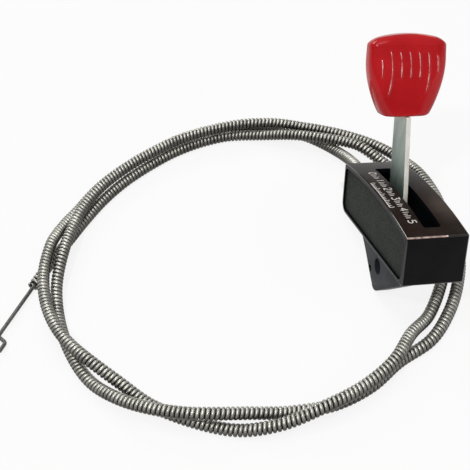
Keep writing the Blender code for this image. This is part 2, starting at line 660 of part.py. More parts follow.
def build_lever_wire(frame, surface):
    y = hook_place()
    rear = REAR_Y - HEAD_LENGTH_INSIDE + WIRE_STUB
    side = -CONDUIT_X
    corners = [(CONDUIT_X, rear, CONDUIT_HEIGHT), (CONDUIT_X, y, CONDUIT_HEIGHT), (side, y, CONDUIT_HEIGHT),
               (side, y - HOOK_LEG, CONDUIT_HEIGHT)]
    wire_curve("wire_lever_end", rounded_path(corners, HOOK_BEND), WIRE_RADIUS, 2, frame, surface)


def hollow_end(name, length, bore_length, parent, surface, location, rotation):
    """A straight length of conduit along X with a blind bore from its far end."""
    outer = CONDUIT_DIAMETER / 2
    profile = [(0, outer), (length, outer), (length, BORE_RADIUS), (length - bore_length, BORE_RADIUS)]
    return add_object(name, turned(name, profile, 20), parent, surface, location, rotation)


def build_clamp(frame, surface, screw_surface):
    """A flat plate under the conduit, held by a screw beside it that points up into the clamp block."""
    middle = REAR_Y - CLAMP_FROM_REAR
    high = block_bottom() - GAP
    low = high - CLAMP_THICKNESS
    half = CLAMP_LENGTH / 2
    outline = rounded_oblong(CLAMP_LEFT, CLAMP_RIGHT, middle - half, middle + half, CLAMP_CORNER)
    clamp = add_object("conduit_clamp", prism_up("conduit_clamp", outline, low, high), frame, surface)
    hole = [(low - END_WALL, SCREW_RADIUS + GAP), (high + END_WALL, SCREW_RADIUS + GAP)]
    place = (SCREW_X, middle, 0)
    upright = (0, -math.pi / 2, 0)
    cut_turned(clamp, frame, "cut_clamp_hole", hole, place, upright, 12)
    seat = screw_seat()
    profile = [(seat - SCREW_HEAD_THICKNESS, SCREW_HEAD_RADIUS * 0.75),
               (seat - SCREW_HEAD_THICKNESS * 0.6, SCREW_HEAD_RADIUS), (seat, SCREW_HEAD_RADIUS),
               (seat, SCREW_RADIUS), (seat + SCREW_LENGTH - SCREW_RADIUS, SCREW_RADIUS),
               (seat + SCREW_LENGTH, SCREW_RADIUS * 0.35)]
    add_object("clamp_screw", turned("clamp_screw", profile, 16), frame, screw_surface, place, upright)


def nose_up():
    """Nose-up angle at which the lug's tip and the housing's heel both touch the floor."""
    across = HOUSING_WIDTH - LUG_INSET - LUG_THICKNESS
    along = LUG_APEX_FROM_REAR - HEEL_ROUND
    above = LOWER_EDGE + HEEL_ROUND + LUG_DEPTH - LUG_TIP_RADIUS
    rise = above * math.cos(LEAN) - across * math.sin(LEAN)
    result = math.atan(rise / along)
    for _ in range(20):
        spread = math.hypot(math.tan(result), math.cos(LEAN))
        result = math.atan((rise + (LUG_TIP_RADIUS - HEEL_ROUND) * spread) / along)
    return result


def world_box(objects):
    """Lowest and highest corner of some objects together."""
    bpy.context.view_layer.update()
    graph = bpy.context.evaluated_depsgraph_get()
    corners = []
    for item in objects:
        shape = item.evaluated_get(graph)
        mesh = shape.to_mesh()
        corners += [shape.matrix_world @ vertex.co for vertex in mesh.vertices]
        shape.to_mesh_clear()
    low = Vector([min(corner[i] for corner in corners) for i in range(3)])
    high = Vector([max(corner[i] for corner in corners) for i in range(3)])
    return low, high


def loop_point(degrees, radius, height):
    """A point of the loop, with its height given from the floor to the conduit's axis."""
    angle = math.radians(degrees)
    return LOOP_CENTRE + Vector((radius * math.cos(angle), radius * math.sin(angle), height))


def smooth_curve(knots, steps):
    """A smooth curve through all knots, level where a rise or a fall begins or ends."""
    spans = [(b - a).length for a, b in zip(knots[:-1], knots[1:])]
    tangents = [(knots[1] - knots[0]) / spans[0]]
    for i in range(1, len(knots) - 1):
        before = (knots[i] - knots[i - 1]) / spans[i - 1]
        after = (knots[i + 1] - knots[i]) / spans[i]
        tangent = (before * spans[i] + after * spans[i - 1]) / (spans[i] + spans[i - 1])
        if before.z * after.z <= 0:
            tangent.z = 0
        tangents.append(tangent)
    tangents.append((knots[-1] - knots[-2]) / spans[-1])
    points = [knots[0]]
    for i, span in enumerate(spans):
        for k in range(1, steps + 1):
            t = k / steps
            reached = 3 * t ** 2 - 2 * t ** 3
            leaving = tangents[i] * span * (t ** 3 - 2 * t ** 2 + t)
            arriving = tangents[i + 1] * span * (t ** 3 - t ** 2)
            points.append(knots[i] * (1 - reached) + knots[i + 1] * reached + leaving + arriving)
    return points


def every_angle(points, step):
    """Keep the ends of a curve and the points where its angle round the loop passes each step."""
    kept = [points[0]]
    turned_by = 0.0
    passed = 0
    for before, point in zip(points[:-1], points[1:]):
        a = before - LOOP_CENTRE
        b = point - LOOP_CENTRE
        turned_by += math.atan2(a.x * b.y - a.y * b.x, a.x * b.x + a.y * b.y)
        if turned_by >= (passed + 1) * step:
            passed += 1
            kept.append(point)
    if (kept[-1] - points[-1]).length < CONDUIT_DIAMETER:
        kept.pop()
    kept.append(points[-1])
    return kept


def build_cable(part, frame, floor, spring_steel, wire_steel):
    rest = floor + CONDUIT_DIAMETER / 2 + FLOOR_GAP
    head_out = Vector((CONDUIT_X, REAR_Y + HEAD_LENGTH_OUTSIDE, CONDUIT_HEIGHT))
    head_length = HEAD_LENGTH_INSIDE + HEAD_LENGTH_OUTSIDE
    hollow_end("conduit_head", head_length, head_length - HEAD_BORE_END, frame, spring_steel, head_out,
               (0, 0, -math.pi / 2))
    to_part = part.matrix_world.inverted() @ frame.matrix_world
    backwards = (to_part.to_3x3() @ Vector((0, 1, 0))).normalized()
    start = to_part @ head_out + backwards * GAP

    outward = Vector((math.cos(TAIL_DIRECTION), math.sin(TAIL_DIRECTION), 0))
    tail_start = loop_point(TAIL_START[0], TAIL_START[1] * MM, rest)
    knots = [start] + [start + backwards * reach for reach in LEAVES_STRAIGHT]
    knots += [loop_point(degrees, radius * MM, rest + level * OVER) for degrees, radius, level in ROUTE]
    knots += [tail_start - outward * GAP]
    points = every_angle(smooth_curve(knots, 24), ROUTE_STEP)
    wire_curve("conduit", points, CONDUIT_DIAMETER / 2, 3, part, spring_steel)

    tail_axis = make_empty("tail_axis", part, tail_start, (0, 0, TAIL_DIRECTION))
    hollow_end("conduit_tail", TAIL_LENGTH, TAIL_LENGTH - HEAD_BORE_END, tail_axis, spring_steel, (0, 0, 0),
               (0, 0, 0))
    bend = Vector((TAIL_LENGTH + ENGINE_WIRE_LENGTH, 0, 0))
    jog = bend + Vector((math.cos(JOG_ANGLE), math.sin(JOG_ANGLE), 0)) * JOG_LENGTH
    corners = [(TAIL_LENGTH - TAIL_STUB, 0, 0), bend, jog, jog + Vector((LAST_LEG, 0, 0))]
    wire_curve("wire_engine_end", rounded_path(corners, WIRE_BEND), WIRE_RADIUS, 2, tail_axis, wire_steel)


def main():
    clear_scene()
    black = make_material("black_moulding", (0.018, 0.016, 0.016), 0.22)
    textured = make_material("textured_black", (0.035, 0.037, 0.036), 0.6)
    red = make_material("red_moulding", (0.62, 0.02, 0.025), 0.2)
    zinc = make_material("zinc_steel", (0.46, 0.50, 0.47), 0.38, 1.0)
    bright = make_material("bright_wire", (0.62, 0.61, 0.58), 0.28, 1.0)
    fibre = make_material("brown_fibre", (0.16, 0.09, 0.05), 0.8)

    part = make_empty("part_origin")
    tilt = Matrix.Rotation(-nose_up(), 3, "X") @ Matrix.Rotation(LEAN, 3, "Y")
    frame = make_empty("control_frame", part, (0, 0, 0), tilt.to_euler())
    axis = make_empty("lever_axis", frame, (0, PIVOT_Y, PIVOT_HEIGHT), (-LEVER_REST_LEAN, 0, 0))

    build_housing(frame, black)
    build_covers(frame, textured)
    build_pivot(frame, zinc, fibre, bright)
    build_lever(axis, zinc)
    build_knob(axis, red)
    build_clamp(frame, zinc, bright)
    control = [item for item in bpy.data.objects if item.type == "MESH" and not item.hide_render]
    low, high = world_box(control)
    build_cable(part, frame, low.z, bright, bright)
    build_lever_wire(frame, bright)
    part.location = (-(low.x + high.x) / 2, -(low.y + high.y) / 2, -low.z)


main()
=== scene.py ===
"""Looks of the throttle control with its coiled cable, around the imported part."""

import math

import bmesh
import bpy
from mathutils import Matrix, Vector


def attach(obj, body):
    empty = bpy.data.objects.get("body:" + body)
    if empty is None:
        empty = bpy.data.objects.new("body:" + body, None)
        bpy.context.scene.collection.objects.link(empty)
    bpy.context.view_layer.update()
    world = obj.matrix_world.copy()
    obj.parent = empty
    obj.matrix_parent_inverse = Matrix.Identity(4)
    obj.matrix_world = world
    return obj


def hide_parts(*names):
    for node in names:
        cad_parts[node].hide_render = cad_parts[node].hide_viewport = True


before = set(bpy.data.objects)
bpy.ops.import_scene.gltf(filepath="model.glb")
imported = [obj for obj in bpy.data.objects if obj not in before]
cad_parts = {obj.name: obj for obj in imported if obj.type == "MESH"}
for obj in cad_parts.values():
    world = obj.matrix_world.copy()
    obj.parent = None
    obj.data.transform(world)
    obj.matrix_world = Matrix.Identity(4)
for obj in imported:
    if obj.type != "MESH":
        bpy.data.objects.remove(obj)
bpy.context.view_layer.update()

MM = 0.001

# Frame of the control: X across, Y to the rear, Z up
CONTROL = Matrix((
    (0.9841956, 0.0, 0.1770847, -0.0071731),
    (-0.0546169, 0.9512495, 0.3035479, -0.0029937),
    (-0.1684518, -0.3084223, 0.9362156, 0.0133760),
    (0.0, 0.0, 0.0, 1.0),
))
LEVER_LEAN = math.radians(7.6)
PIVOT = Vector((0.0, 3.4, 4.5)) * MM
LEVER = CONTROL @ Matrix.Translation(PIVOT) @ Matrix.Rotation(-LEVER_LEAN, 4, "X")
TAIL_ANGLE = math.radians(234.0)
TAIL_START = Vector((-0.1450099, 0.0420920, 0.00259))
TAIL = Matrix.Translation(TAIL_START) @ Matrix.Rotation(TAIL_ANGLE, 4, "Z")

# Housing, in the control's frame
LENGTH = 73.0 * MM
WIDTH = 25.0 * MM
REAR_Y = LENGTH / 2
SIDE_X = WIDTH / 2
REAR_HEIGHT = 20.0 * MM
FRONT_HEIGHT = 18.5 * MM
CROWN_RISE = 3.1 * MM
LOWER_EDGE = -1.5 * MM
HEEL_ROUND = 5.0 * MM
WALL = 2.0 * MM
RIM = 1.5 * MM
GAP = 0.3 * MM
RECESS_X = 10.1 * MM
RECESS_CORNER = 2.6 * MM
INNER_X = 8.5 * MM
CROWN_STEPS = 56
BORE_RADIUS = 2.3 * MM
SLOT_WIDTH = 7.0 * MM
SLOT_CORNER = 1.2 * MM
SLOT_FRONT = REAR_Y - 67.0 * MM
SLOT_REAR = REAR_Y - 11.5 * MM
HOUSING_ROUND = 0.9 * MM
EDGE_BAND = 1.0 * MM
FRONT_BAND = 1.2 * MM
CROWN_BAND = 3.0 * MM
# Where the painted highlight along the front crease and the right rim ends
HIGHLIGHT_EDGE_END_X = 4.0 * MM
HIGHLIGHT_EDGE_END_Y = 8.0 * MM

# Side covers
COVER_THICKNESS = 1.2 * MM
COVER_SETBACK = 0.9 * MM
COVER_PLAY = 0.02 * MM
COVER_ROUND = 0.15 * MM

# Mounting lug, below the housing's left side
LUG_THICKNESS = 6.5 * MM
LUG_LEFT = -SIDE_X + 0.7 * MM
LUG_HEEL = REAR_Y - 20.0 * MM
LUG_NOSE = -REAR_Y + 0.9 * MM
LUG_ROOT = 3.0 * MM
LUG_TIP_RADIUS = 3.4 * MM
LUG_TIP_Y = REAR_Y - 44.5 * MM
LUG_TIP_Z = -17.8 * MM + LUG_TIP_RADIUS
LUG_TIP_LEAVES = math.radians(-32)
LUG_ROUND = 0.8 * MM
# How full the lug's hollow rear edge is: 0 gives a parabola from its heel
LUG_FULLNESS = 0.9
BOLT_RADIUS = 3.25 * MM
BOLT_PLACE = (LUG_LEFT, REAR_Y - 46.3 * MM, -6.2 * MM)
PIN_RADIUS = 1.5 * MM
PIN_PLACE = (LUG_LEFT, REAR_Y - 38.6 * MM, -10.8 * MM)
PIN_DEPTH = 3.0 * MM

# Lever, in its own frame: upwards from its pivot
LEVER_LENGTH = 61.0 * MM
LEVER_THICKNESS = 1.9 * MM
LEVER_HALF_WIDTH = 7.75 * MM
LEVER_HALF_NECK = 6.5 * MM
LEVER_HALF_TANG = 4.5 * MM
LEVER_CHAMFER = 1.5 * MM
LEVER_ROUND = 0.22 * MM
LEVER_EDGE_FROM = 9.0 * MM
LEVER_EDGE_OUT = 4.0 * MM
LEVER_FOOT_RADIUS = 5.6 * MM
LEVER_WIDE_FROM = 8.0 * MM
LEVER_WIDE_TO = 16.5 * MM
LEVER_SWING = math.radians(50.0)
WIRE_HOLE_HEIGHT = 8.0 * MM
WIRE_HOLE_RADIUS = 1.55 * MM
WIRE_HOLE_PLAY = 1.25 * MM

# Knob, in the lever's frame
KNOB_WIDTH = 31.5 * MM
KNOB_FOOT_HALF_WIDTH = 9.85 * MM
KNOB_FOOT = 46.4 * MM
KNOB_LIP = 0.7 * MM
KNOB_HEIGHT = 31.3 * MM
KNOB_CORNER = 4.5 * MM
KNOB_BODY = KNOB_HEIGHT - KNOB_CORNER
KNOB_THICKNESS_LOW = 13.2 * MM
KNOB_THICKNESS_HIGH = 11.0 * MM
KNOB_SQUARENESS = 3.3
KNOB_BROAD = 0.9
KNOB_WIDEST = 0.8
KNOB_FLARE = 0.85
KNOB_TAPER = 1.6
KNOB_TOP_NARROWING = 0.15 * MM
KNOB_CROWN_DROP = 2.4 * MM
FOOT_WAVE = 0.22 * MM
FOOT_WAVE_PITCH = 4.4 * MM
# How far each ring of the knob's foot is drawn in, and how far it has risen, as shares of its lip
FOOT_RINGS = ((1.0, 0.0), (0.62, 0.08), (0.29, 0.29), (0.08, 0.62))
RIB_HEIGHT = 0.42 * MM
RIB_BOW = 1.0 * MM
RIB_PITCH = 3.74 * MM
RIB_SHIFT = -1.25 * MM
RIB_FADE = 0.09
# Lower and upper share of the grip that a rib spans, for the outer ribs and for the others
RIB_ENDS = {-3: (0.52, 0.86), -2: (0.27, 0.985), 2: (0.32, 0.96), 3: (0.57, 0.91)}
RIB_OTHER_ENDS = (0.52, 0.97)
# Outer end of the ribs and of the painted highlight on their crests, as shares of the grip's half width
RIBS_END = 0.92
HIGHLIGHT_END = 0.86
# Half width of the painted highlight along each crest, how much it varies, and its offset, as shares of the
# pitch
HIGHLIGHT_HALF_WIDTH = 0.034
HIGHLIGHT_VARIATION = 0.014
HIGHLIGHT_OFFSET = -0.03

# Conduit and its wire
CONDUIT_X = -2.1 * MM
CONDUIT_Z = 12.5 * MM
CONDUIT_RADIUS = 2.54 * MM
HEAD_INSIDE = 15.8 * MM
HEAD_OUTSIDE = 3.5 * MM
TAIL_LENGTH = 18.0 * MM
COIL_WIRE_RADIUS = 0.87 * MM
COIL_PITCH = 1.76 * MM
COIL_LOOSE_LENGTH = 4.5 * COIL_PITCH
COIL_STEPS_PER_TURN = 15
FLOOR_CLEARANCE = 0.05 * MM
WIRE_RADIUS = 0.8 * MM
WIRE_INSIDE = 6.0 * MM
WIRE_OUTSIDE = 28.0 * MM
WIRE_BEND_RADIUS = 1.7 * MM
JOG_ANGLE = math.radians(68.0)
JOG_LENGTH = 4.9 * MM
JOG_TIP = 4.7 * MM

# Printed scale on the crown, in millimetres: numbers with ticks, and a finer row of ticks
DIGIT_SIZE = 3.1
DIGIT_X = -8.0
DIGIT_START_Y = 20.0
DIGIT_PITCH = 9.0
DIGIT_STROKE = 0.44
TICK_STROKE = 0.40
TICK_START = 3.2
TICK_PITCH = 1.35
TICK_X = -7.9
SHORT_TICK_X = -6.2
LONG_TICK_X = -5.4
RULE_X = -11.3
RULE_START_Y = 7.6
RULE_PITCH = 1.4
RULE_COUNT = 17
RULE_SHORT_X = -10.1
RULE_LONG_X = -9.4
PRINT_STEP = 0.8
PRINT_TOP = 0.03
PRINT_BOTTOM = -0.1

# Floor, its darker part below the housing, and the sky of the studio
FLOOR_HALF_SIZE = 12.0
FLOOR_WHITE_SHARE = 0.86
DARK_FLOOR_EDGES = (    # axis, where the dark begins, where it is full
    ("X", -0.015, -0.011), ("X", 0.019, 0.0165), ("Y", -0.014, -0.009), ("Y", 0.053, 0.048),
)
# Height above the horizon and its colour
SKY = [(0.035, (0.9, 0.9, 0.9)), (0.08, (0.14, 0.135, 0.13)), (0.65, (0.40, 0.40, 0.395))]

# Camera of the photograph
CAMERA_PLACE = Vector((-0.122598, -0.269701, 0.305188))
CAMERA_FORWARD = Vector((0.1272, 0.6993, -0.7034))
CAMERA_ROLL = math.radians(5.44)
FOCAL_PIXELS = 1000
PHOTO_PIXELS = 470
SENSOR_WIDTH = 36.0

# The conduit's route past the housing: the centre line of its loop
ROUTE = [
    (-0.00703, 0.03925, 0.01300), (-0.00689, 0.05298, 0.00851), (-0.00955, 0.06785, 0.00410),
    (-0.01692, 0.08166, 0.00259), (-0.02880, 0.09252, 0.00259), (-0.04320, 0.10005, 0.00259),
    (-0.05913, 0.10365, 0.00259), (-0.07542, 0.10213, 0.00259), (-0.09086, 0.09741, 0.00259),
    (-0.10521, 0.09039, 0.00259), (-0.11837, 0.08138, 0.00259), (-0.12946, 0.06990, 0.00259),
    (-0.13842, 0.05716, 0.00550), (-0.14558, 0.04251, 0.00879), (-0.15017, 0.02667, 0.00859),
    (-0.15085, 0.01012, 0.00812), (-0.14717, -0.00632, 0.00807), (-0.13966, -0.02071, 0.00832),
    (-0.12934, -0.03366, 0.00526), (-0.11953, -0.04567, 0.00269), (-0.10718, -0.05650, 0.00259),
    (-0.09275, -0.06518, 0.00259), (-0.07643, -0.06951, 0.00502), (-0.05948, -0.06874, 0.00807),
    (-0.04300, -0.06432, 0.00820), (-0.02849, -0.05682, 0.00889), (-0.01746, -0.04516, 0.00644),
    (-0.00583, -0.03514, 0.00259), (0.00344, -0.02335, 0.00259), (0.01126, -0.01005, 0.00373),
    (0.01675, 0.00469, 0.00811), (0.01944, 0.02047, 0.00807), (0.01856, 0.03667, 0.00807),
    (0.01415, 0.05238, 0.00650), (0.00517, 0.06601, 0.00680), (-0.00685, 0.07611, 0.00785),
    (-0.02011, 0.08505, 0.00813), (-0.03357, 0.09277, 0.00833), (-0.04831, 0.09684, 0.00830),
    (-0.06357, 0.09757, 0.00811), (-0.07832, 0.09572, 0.00807), (-0.09236, 0.09051, 0.00807),
    (-0.10571, 0.08371, 0.00807), (-0.11788, 0.07510, 0.00807), (-0.12821, 0.06361, 0.00807),
    (-0.13548, 0.05063, 0.00807), (-0.14112, 0.03705, 0.00778), (-0.14601, 0.02224, 0.00481),
    (-0.14732, 0.00571, 0.00259), (-0.14546, -0.01046, 0.00259), (-0.14052, -0.02660, 0.00259),
    (-0.13139, -0.04054, 0.00530), (-0.11821, -0.05194, 0.00794), (-0.10318, -0.05911, 0.00865),
    (-0.08643, -0.06169, 0.00562), (-0.07077, -0.06382, 0.00260), (-0.05499, -0.06529, 0.00259),
    (-0.03947, -0.06150, 0.00259), (-0.02561, -0.05379, 0.00259), (-0.01008, -0.04743, 0.00259),
    (0.00202, -0.03615, 0.00259), (0.01115, -0.02303, 0.00259), (0.01800, -0.00781, 0.00259),
    (0.01970, 0.00834, 0.00259), (0.01822, 0.02480, 0.00259), (0.01401, 0.03993, 0.00267),
    (0.00693, 0.05374, 0.00506), (-0.00263, 0.06509, 0.00911), (-0.01457, 0.07404, 0.00886),
    (-0.02651, 0.08206, 0.00757), (-0.03896, 0.09021, 0.00439), (-0.05226, 0.09650, 0.00259),
    (-0.06781, 0.09676, 0.00259), (-0.08202, 0.09353, 0.00259), (-0.09550, 0.08759, 0.00259),
    (-0.10858, 0.07987, 0.00259), (-0.11946, 0.07091, 0.00259), (-0.12962, 0.06003, 0.00259),
    (-0.13946, 0.04821, 0.00259), (-0.14483, 0.04233, 0.00259),
]


# Materials

def new_material(name):
    surface = bpy.data.materials.new(name)
    surface.use_nodes = True
    tree = surface.node_tree
    return surface, tree, tree.nodes["Principled BSDF"]


def noise(tree, scale, detail=3.0, roughness=0.55, stretch=None):
    """Noise from 0 to 1 in the part's own coordinates, which are metres."""
    place = tree.nodes.new("ShaderNodeTexCoord")
    source = place.outputs["Object"]
    if stretch is not None:
        mapping = tree.nodes.new("ShaderNodeMapping")
        mapping.inputs["Scale"].default_value = stretch
        tree.links.new(source, mapping.inputs["Vector"])
        source = mapping.outputs["Vector"]
    result = tree.nodes.new("ShaderNodeTexNoise")
    result.inputs["Scale"].default_value = scale
    result.inputs["Detail"].default_value = detail
    result.inputs["Roughness"].default_value = roughness
    tree.links.new(source, result.inputs["Vector"])
    return result.outputs["Fac"]


def axis_value(tree, node, output, axis):
    """One axis of a place or a direction."""
    source = tree.nodes.new(node)
    axes = tree.nodes.new("ShaderNodeSeparateXYZ")
    tree.links.new(source.outputs[output], axes.inputs["Vector"])
    return axes.outputs[axis]


def ramp(tree, source, stops):
    """Colours at positions from 0 to 1 along a value."""
    result = tree.nodes.new("ShaderNodeValToRGB")
    colours = result.color_ramp.elements
    colours[0].position, colours[0].color = stops[0][0], (*stops[0][1], 1.0)
    colours[1].position, colours[1].color = stops[-1][0], (*stops[-1][1], 1.0)
    for position, colour in stops[1:-1]:
        colours.new(position).color = (*colour, 1.0)
    tree.links.new(source, result.inputs["Fac"])
    return result.outputs["Color"]


def span(tree, source, low, high):
    """Map a value from 0..1 to low..high."""
    result = tree.nodes.new("ShaderNodeMapRange")
    result.inputs["To Min"].default_value = low
    result.inputs["To Max"].default_value = high
    tree.links.new(source, result.inputs["Value"])
    return result.outputs["Result"]


def smooth_step(tree, source, low, high):
    """0 where a value is at low, 1 where it is at high, and smooth between them."""
    result = tree.nodes.new("ShaderNodeMapRange")
    result.interpolation_type = "SMOOTHSTEP"
    result.inputs["From Min"].default_value = low
    result.inputs["From Max"].default_value = high
    tree.links.new(source, result.inputs["Value"])
    return result.outputs["Result"]


def combined(tree, operation, first, second):
    """Two values joined by a node of the given operation."""
    result = tree.nodes.new("ShaderNodeMath")
    result.operation = operation
    tree.links.new(first, result.inputs[0])
    tree.links.new(second, result.inputs[1])
    return result.outputs[0]


def mixed(tree, share, first, second):
    """The first colour where the share is 0, and the second where it is 1."""
    result = tree.nodes.new("ShaderNodeMix")
    result.data_type = "RGBA"
    tree.links.new(share, result.inputs["Factor"])
    tree.links.new(first, result.inputs["A"])
    tree.links.new(second, result.inputs["B"])
    return result.outputs["Result"]


def bump(tree, shader, height, distance):
    result = tree.nodes.new("ShaderNodeBump")
    result.inputs["Distance"].default_value = distance
    result.inputs["Strength"].default_value = 1.0
    tree.links.new(height, result.inputs["Height"])
    tree.links.new(result.outputs["Normal"], shader.inputs["Normal"])


def moulding(name, dark, light, rough, grain, depth, specular, mottle=90.0):
    """Moulded plastic: slow colour drift, uneven gloss and a fine grain."""
    surface, tree, shader = new_material(name)
    colour = ramp(tree, noise(tree, mottle), [(0.3, dark), (0.72, light)])
    tree.links.new(colour, shader.inputs["Base Color"])
    gloss = noise(tree, 260.0, 5.0)
    tree.links.new(span(tree, gloss, *rough), shader.inputs["Roughness"])
    bump(tree, shader, noise(tree, grain, 2.0), depth)
    shader.inputs["Specular IOR Level"].default_value = specular
    return surface


def mottled(tree, mottle, dark, light):
    return ramp(tree, mottle, [(0.32, dark), (0.66, light)])


def metal(name, dark, light, rough, scale, depth, stretch=None, metallic=1.0):
    """Plated or drawn steel: mottled colour and gloss, with faint scratches along one direction."""
    surface, tree, shader = new_material(name)
    shader.inputs["Metallic"].default_value = metallic
    mottle = noise(tree, scale, 6.0, 0.6, stretch)
    tree.links.new(mottled(tree, mottle, dark, light), shader.inputs["Base Color"])
    tree.links.new(span(tree, mottle, *rough), shader.inputs["Roughness"])
    bump(tree, shader, noise(tree, scale * 5, 3.0, 0.6, stretch), depth)
    return surface


def blade_zinc():
    """Dull plating, with painted shade that darkens the blade downwards, towards the housing."""
    painted_shade_full_below = 0.030
    painted_shade_gone_above = 0.062
    along = (1.0, 1.0, 0.25)
    surface, tree, shader = new_material("lever_zinc")
    shader.inputs["Metallic"].default_value = 0.75
    mottle = noise(tree, 260.0, 6.0, 0.6, along)
    # A lit copy of the plating and a darker painted-shade copy, blended by height
    high = mottled(tree, mottle, (0.40, 0.46, 0.42), (0.52, 0.58, 0.52))
    low = mottled(tree, mottle, (0.13, 0.18, 0.165), (0.20, 0.26, 0.235))
    height = axis_value(tree, "ShaderNodeTexCoord", "Object", "Z")
    rise = smooth_step(tree, height, painted_shade_full_below, painted_shade_gone_above)
    tree.links.new(mixed(tree, rise, low, high), shader.inputs["Base Color"])
    tree.links.new(span(tree, mottle, 0.42, 0.56), shader.inputs["Roughness"])
    bump(tree, shader, noise(tree, 1300.0, 3.0, 0.6, along), 0.000012)
    return surface


def coil_steel():
    """Drawn wire, with painted light on the upper side of each turn and painted shade below and between the
    turns, set by the surface's normal.
    """
    painted_shade_under = 0.15
    painted_light_over = 0.95
    surface, tree, shader = new_material("conduit_steel")
    shader.inputs["Metallic"].default_value = 0.9
    mottle = noise(tree, 160.0, 6.0, 0.6)
    painted_lit_steel = mottled(tree, mottle, (0.45, 0.445, 0.405), (0.74, 0.73, 0.67))
    painted_shaded_steel = mottled(tree, mottle, (0.060, 0.058, 0.052), (0.115, 0.111, 0.098))
    # Painted light and shade: the colour is light where the surface faces up, and dark where it faces
    # sideways or down
    upwards = axis_value(tree, "ShaderNodeNewGeometry", "Normal", "Z")
    painted_light_share = smooth_step(tree, upwards, painted_shade_under, painted_light_over)
    tree.links.new(mixed(tree, painted_light_share, painted_shaded_steel, painted_lit_steel), shader.inputs["Base Color"])
    tree.links.new(span(tree, mottle, 0.38, 0.50), shader.inputs["Roughness"])
    bump(tree, shader, noise(tree, 900.0, 3.0), 0.00001)
    return surface


# Depths are in metres. Grain, mottle and scale say how fine a noise is, in steps for each metre.
GLOSS_BLACK = moulding("black_moulding_gloss", (0.0035, 0.0033, 0.0037), (0.007, 0.0065, 0.007),
                       rough=(0.14, 0.24), grain=900.0, depth=0.000004, specular=0.08)
# The crown's lighter, brownish base is a painted sheen: a reflection painted onto the top
CROWN_SHEEN_BLACK = moulding("black_moulding_crown_sheen", (0.010, 0.006, 0.005), (0.024, 0.017, 0.014),
                       rough=(0.18, 0.28), grain=900.0, depth=0.000004, specular=0.04)
EDGE_BLACK = moulding("black_moulding_edge", (0.008, 0.007, 0.007), (0.020, 0.018, 0.017),
                      rough=(0.05, 0.10), grain=1400.0, depth=0.000002, specular=0.7)
# A painted highlight on the front crease and the right rim, broken up by mottle
EDGE_PAINTED_HIGHLIGHT = moulding("black_moulding_painted_highlight_edge", (0.06, 0.035, 0.03), (0.85, 0.62, 0.55),
                     rough=(0.25, 0.4), grain=1400.0, depth=0.000004, specular=0.3, mottle=420.0)
INNER_BLACK = moulding("black_moulding_inside", (0.003, 0.0035, 0.0045), (0.005, 0.006, 0.008),
                       rough=(0.6, 0.75), grain=900.0, depth=0.00001, specular=0.02)
LUG_BLACK = moulding("black_moulding_lug", (0.012, 0.015, 0.019), (0.030, 0.034, 0.041),
                     rough=(0.34, 0.46), grain=1200.0, depth=0.00001, specular=0.05)
TEXTURED = moulding("cover_textured", (0.012, 0.015, 0.012), (0.046, 0.051, 0.046),
                    rough=(0.55, 0.78), grain=1500.0, depth=0.00035, specular=0.1, mottle=1500.0)
RED = moulding("knob_red", (0.44, 0.007, 0.011), (0.54, 0.012, 0.016),
               rough=(0.09, 0.17), grain=500.0, depth=0.000008, specular=0.22)
# Painted highlight: a light pink line painted along each rib's crest
RIB_HIGHLIGHT_RED = moulding("knob_rib_painted_highlight", (0.58, 0.10, 0.10), (0.92, 0.58, 0.56),
                   rough=(0.10, 0.2), grain=500.0, depth=0.000008, specular=0.5, mottle=700.0)
ZINC = metal("zinc_plate", (0.30, 0.34, 0.32), (0.46, 0.50, 0.47),
             rough=(0.38, 0.52), scale=260.0, depth=0.000012, stretch=(1.0, 1.0, 0.25))
BLADE = blade_zinc()
# The blade's cut edges: bare metal, painted much lighter as a painted highlight
BLADE_EDGE_AND_HIGHLIGHT = metal("lever_zinc_edge_and_highlight", (0.78, 0.76, 0.68), (0.95, 0.93, 0.86),
                   rough=(0.30, 0.44), scale=300.0, depth=0.000016, stretch=(1.0, 1.0, 0.4), metallic=0.15)
COIL_STEEL = coil_steel()
WIRE_STEEL = metal("wire_steel", (0.09, 0.09, 0.09), (0.20, 0.195, 0.185),
                   rough=(0.40, 0.52), scale=300.0, depth=0.00001, metallic=0.7)
FIBRE = moulding("washer_fibre", (0.12, 0.07, 0.04), (0.22, 0.13, 0.07),
                 rough=(0.7, 0.9), grain=1500.0, depth=0.00006, specular=0.3)
PRINT = moulding("dial_print", (0.60, 0.57, 0.53), (0.80, 0.77, 0.73),
                 rough=(0.45, 0.6), grain=1800.0, depth=0.00001, specular=0.3)


# Meshes

def new_object(name, data):
    result = bpy.data.objects.new(name, data)
    bpy.context.scene.collection.objects.link(result)
    return result


def add_piece(name, mesh, matrix, surface, body, replaced=(), smooth=35.0):
    """Put a mesh in the scene, in the row's frame, as a piece that rides on a body."""
    mesh.transform(matrix)
    mesh.shade_smooth()
    if smooth is not None:
        mesh.set_sharp_from_angle(angle=math.radians(smooth))
    mesh.materials.append(surface)
    piece = new_object(name, mesh)
    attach(piece, body)
    if replaced:
        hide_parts(*replaced)
    return piece


def faces_where(mesh, chosen):
    """The faces that a test picks by their centre and normal, in the mesh's own axes."""
    return [face.index for face in mesh.polygons if chosen(face.center, face.normal)]


def give(piece, surface, faces):
    """Give some faces of a piece another material."""
    piece.data.materials.append(surface)
    number = len(piece.data.materials) - 1
    for index in faces:
        piece.data.polygons[index].material_index = number


def mesh_from(name, build):
    work = bmesh.new()
    build(work)
    bmesh.ops.recalc_face_normals(work, faces=work.faces)
    mesh = bpy.data.meshes.new(name)
    work.to_mesh(mesh)
    work.free()
    return mesh


def arc(centre, radius, start, end, steps):
    return [
        (centre[0] + radius * math.cos(start + (end - start) * i / steps),
         centre[1] + radius * math.sin(start + (end - start) * i / steps))
        for i in range(steps + 1)
    ]


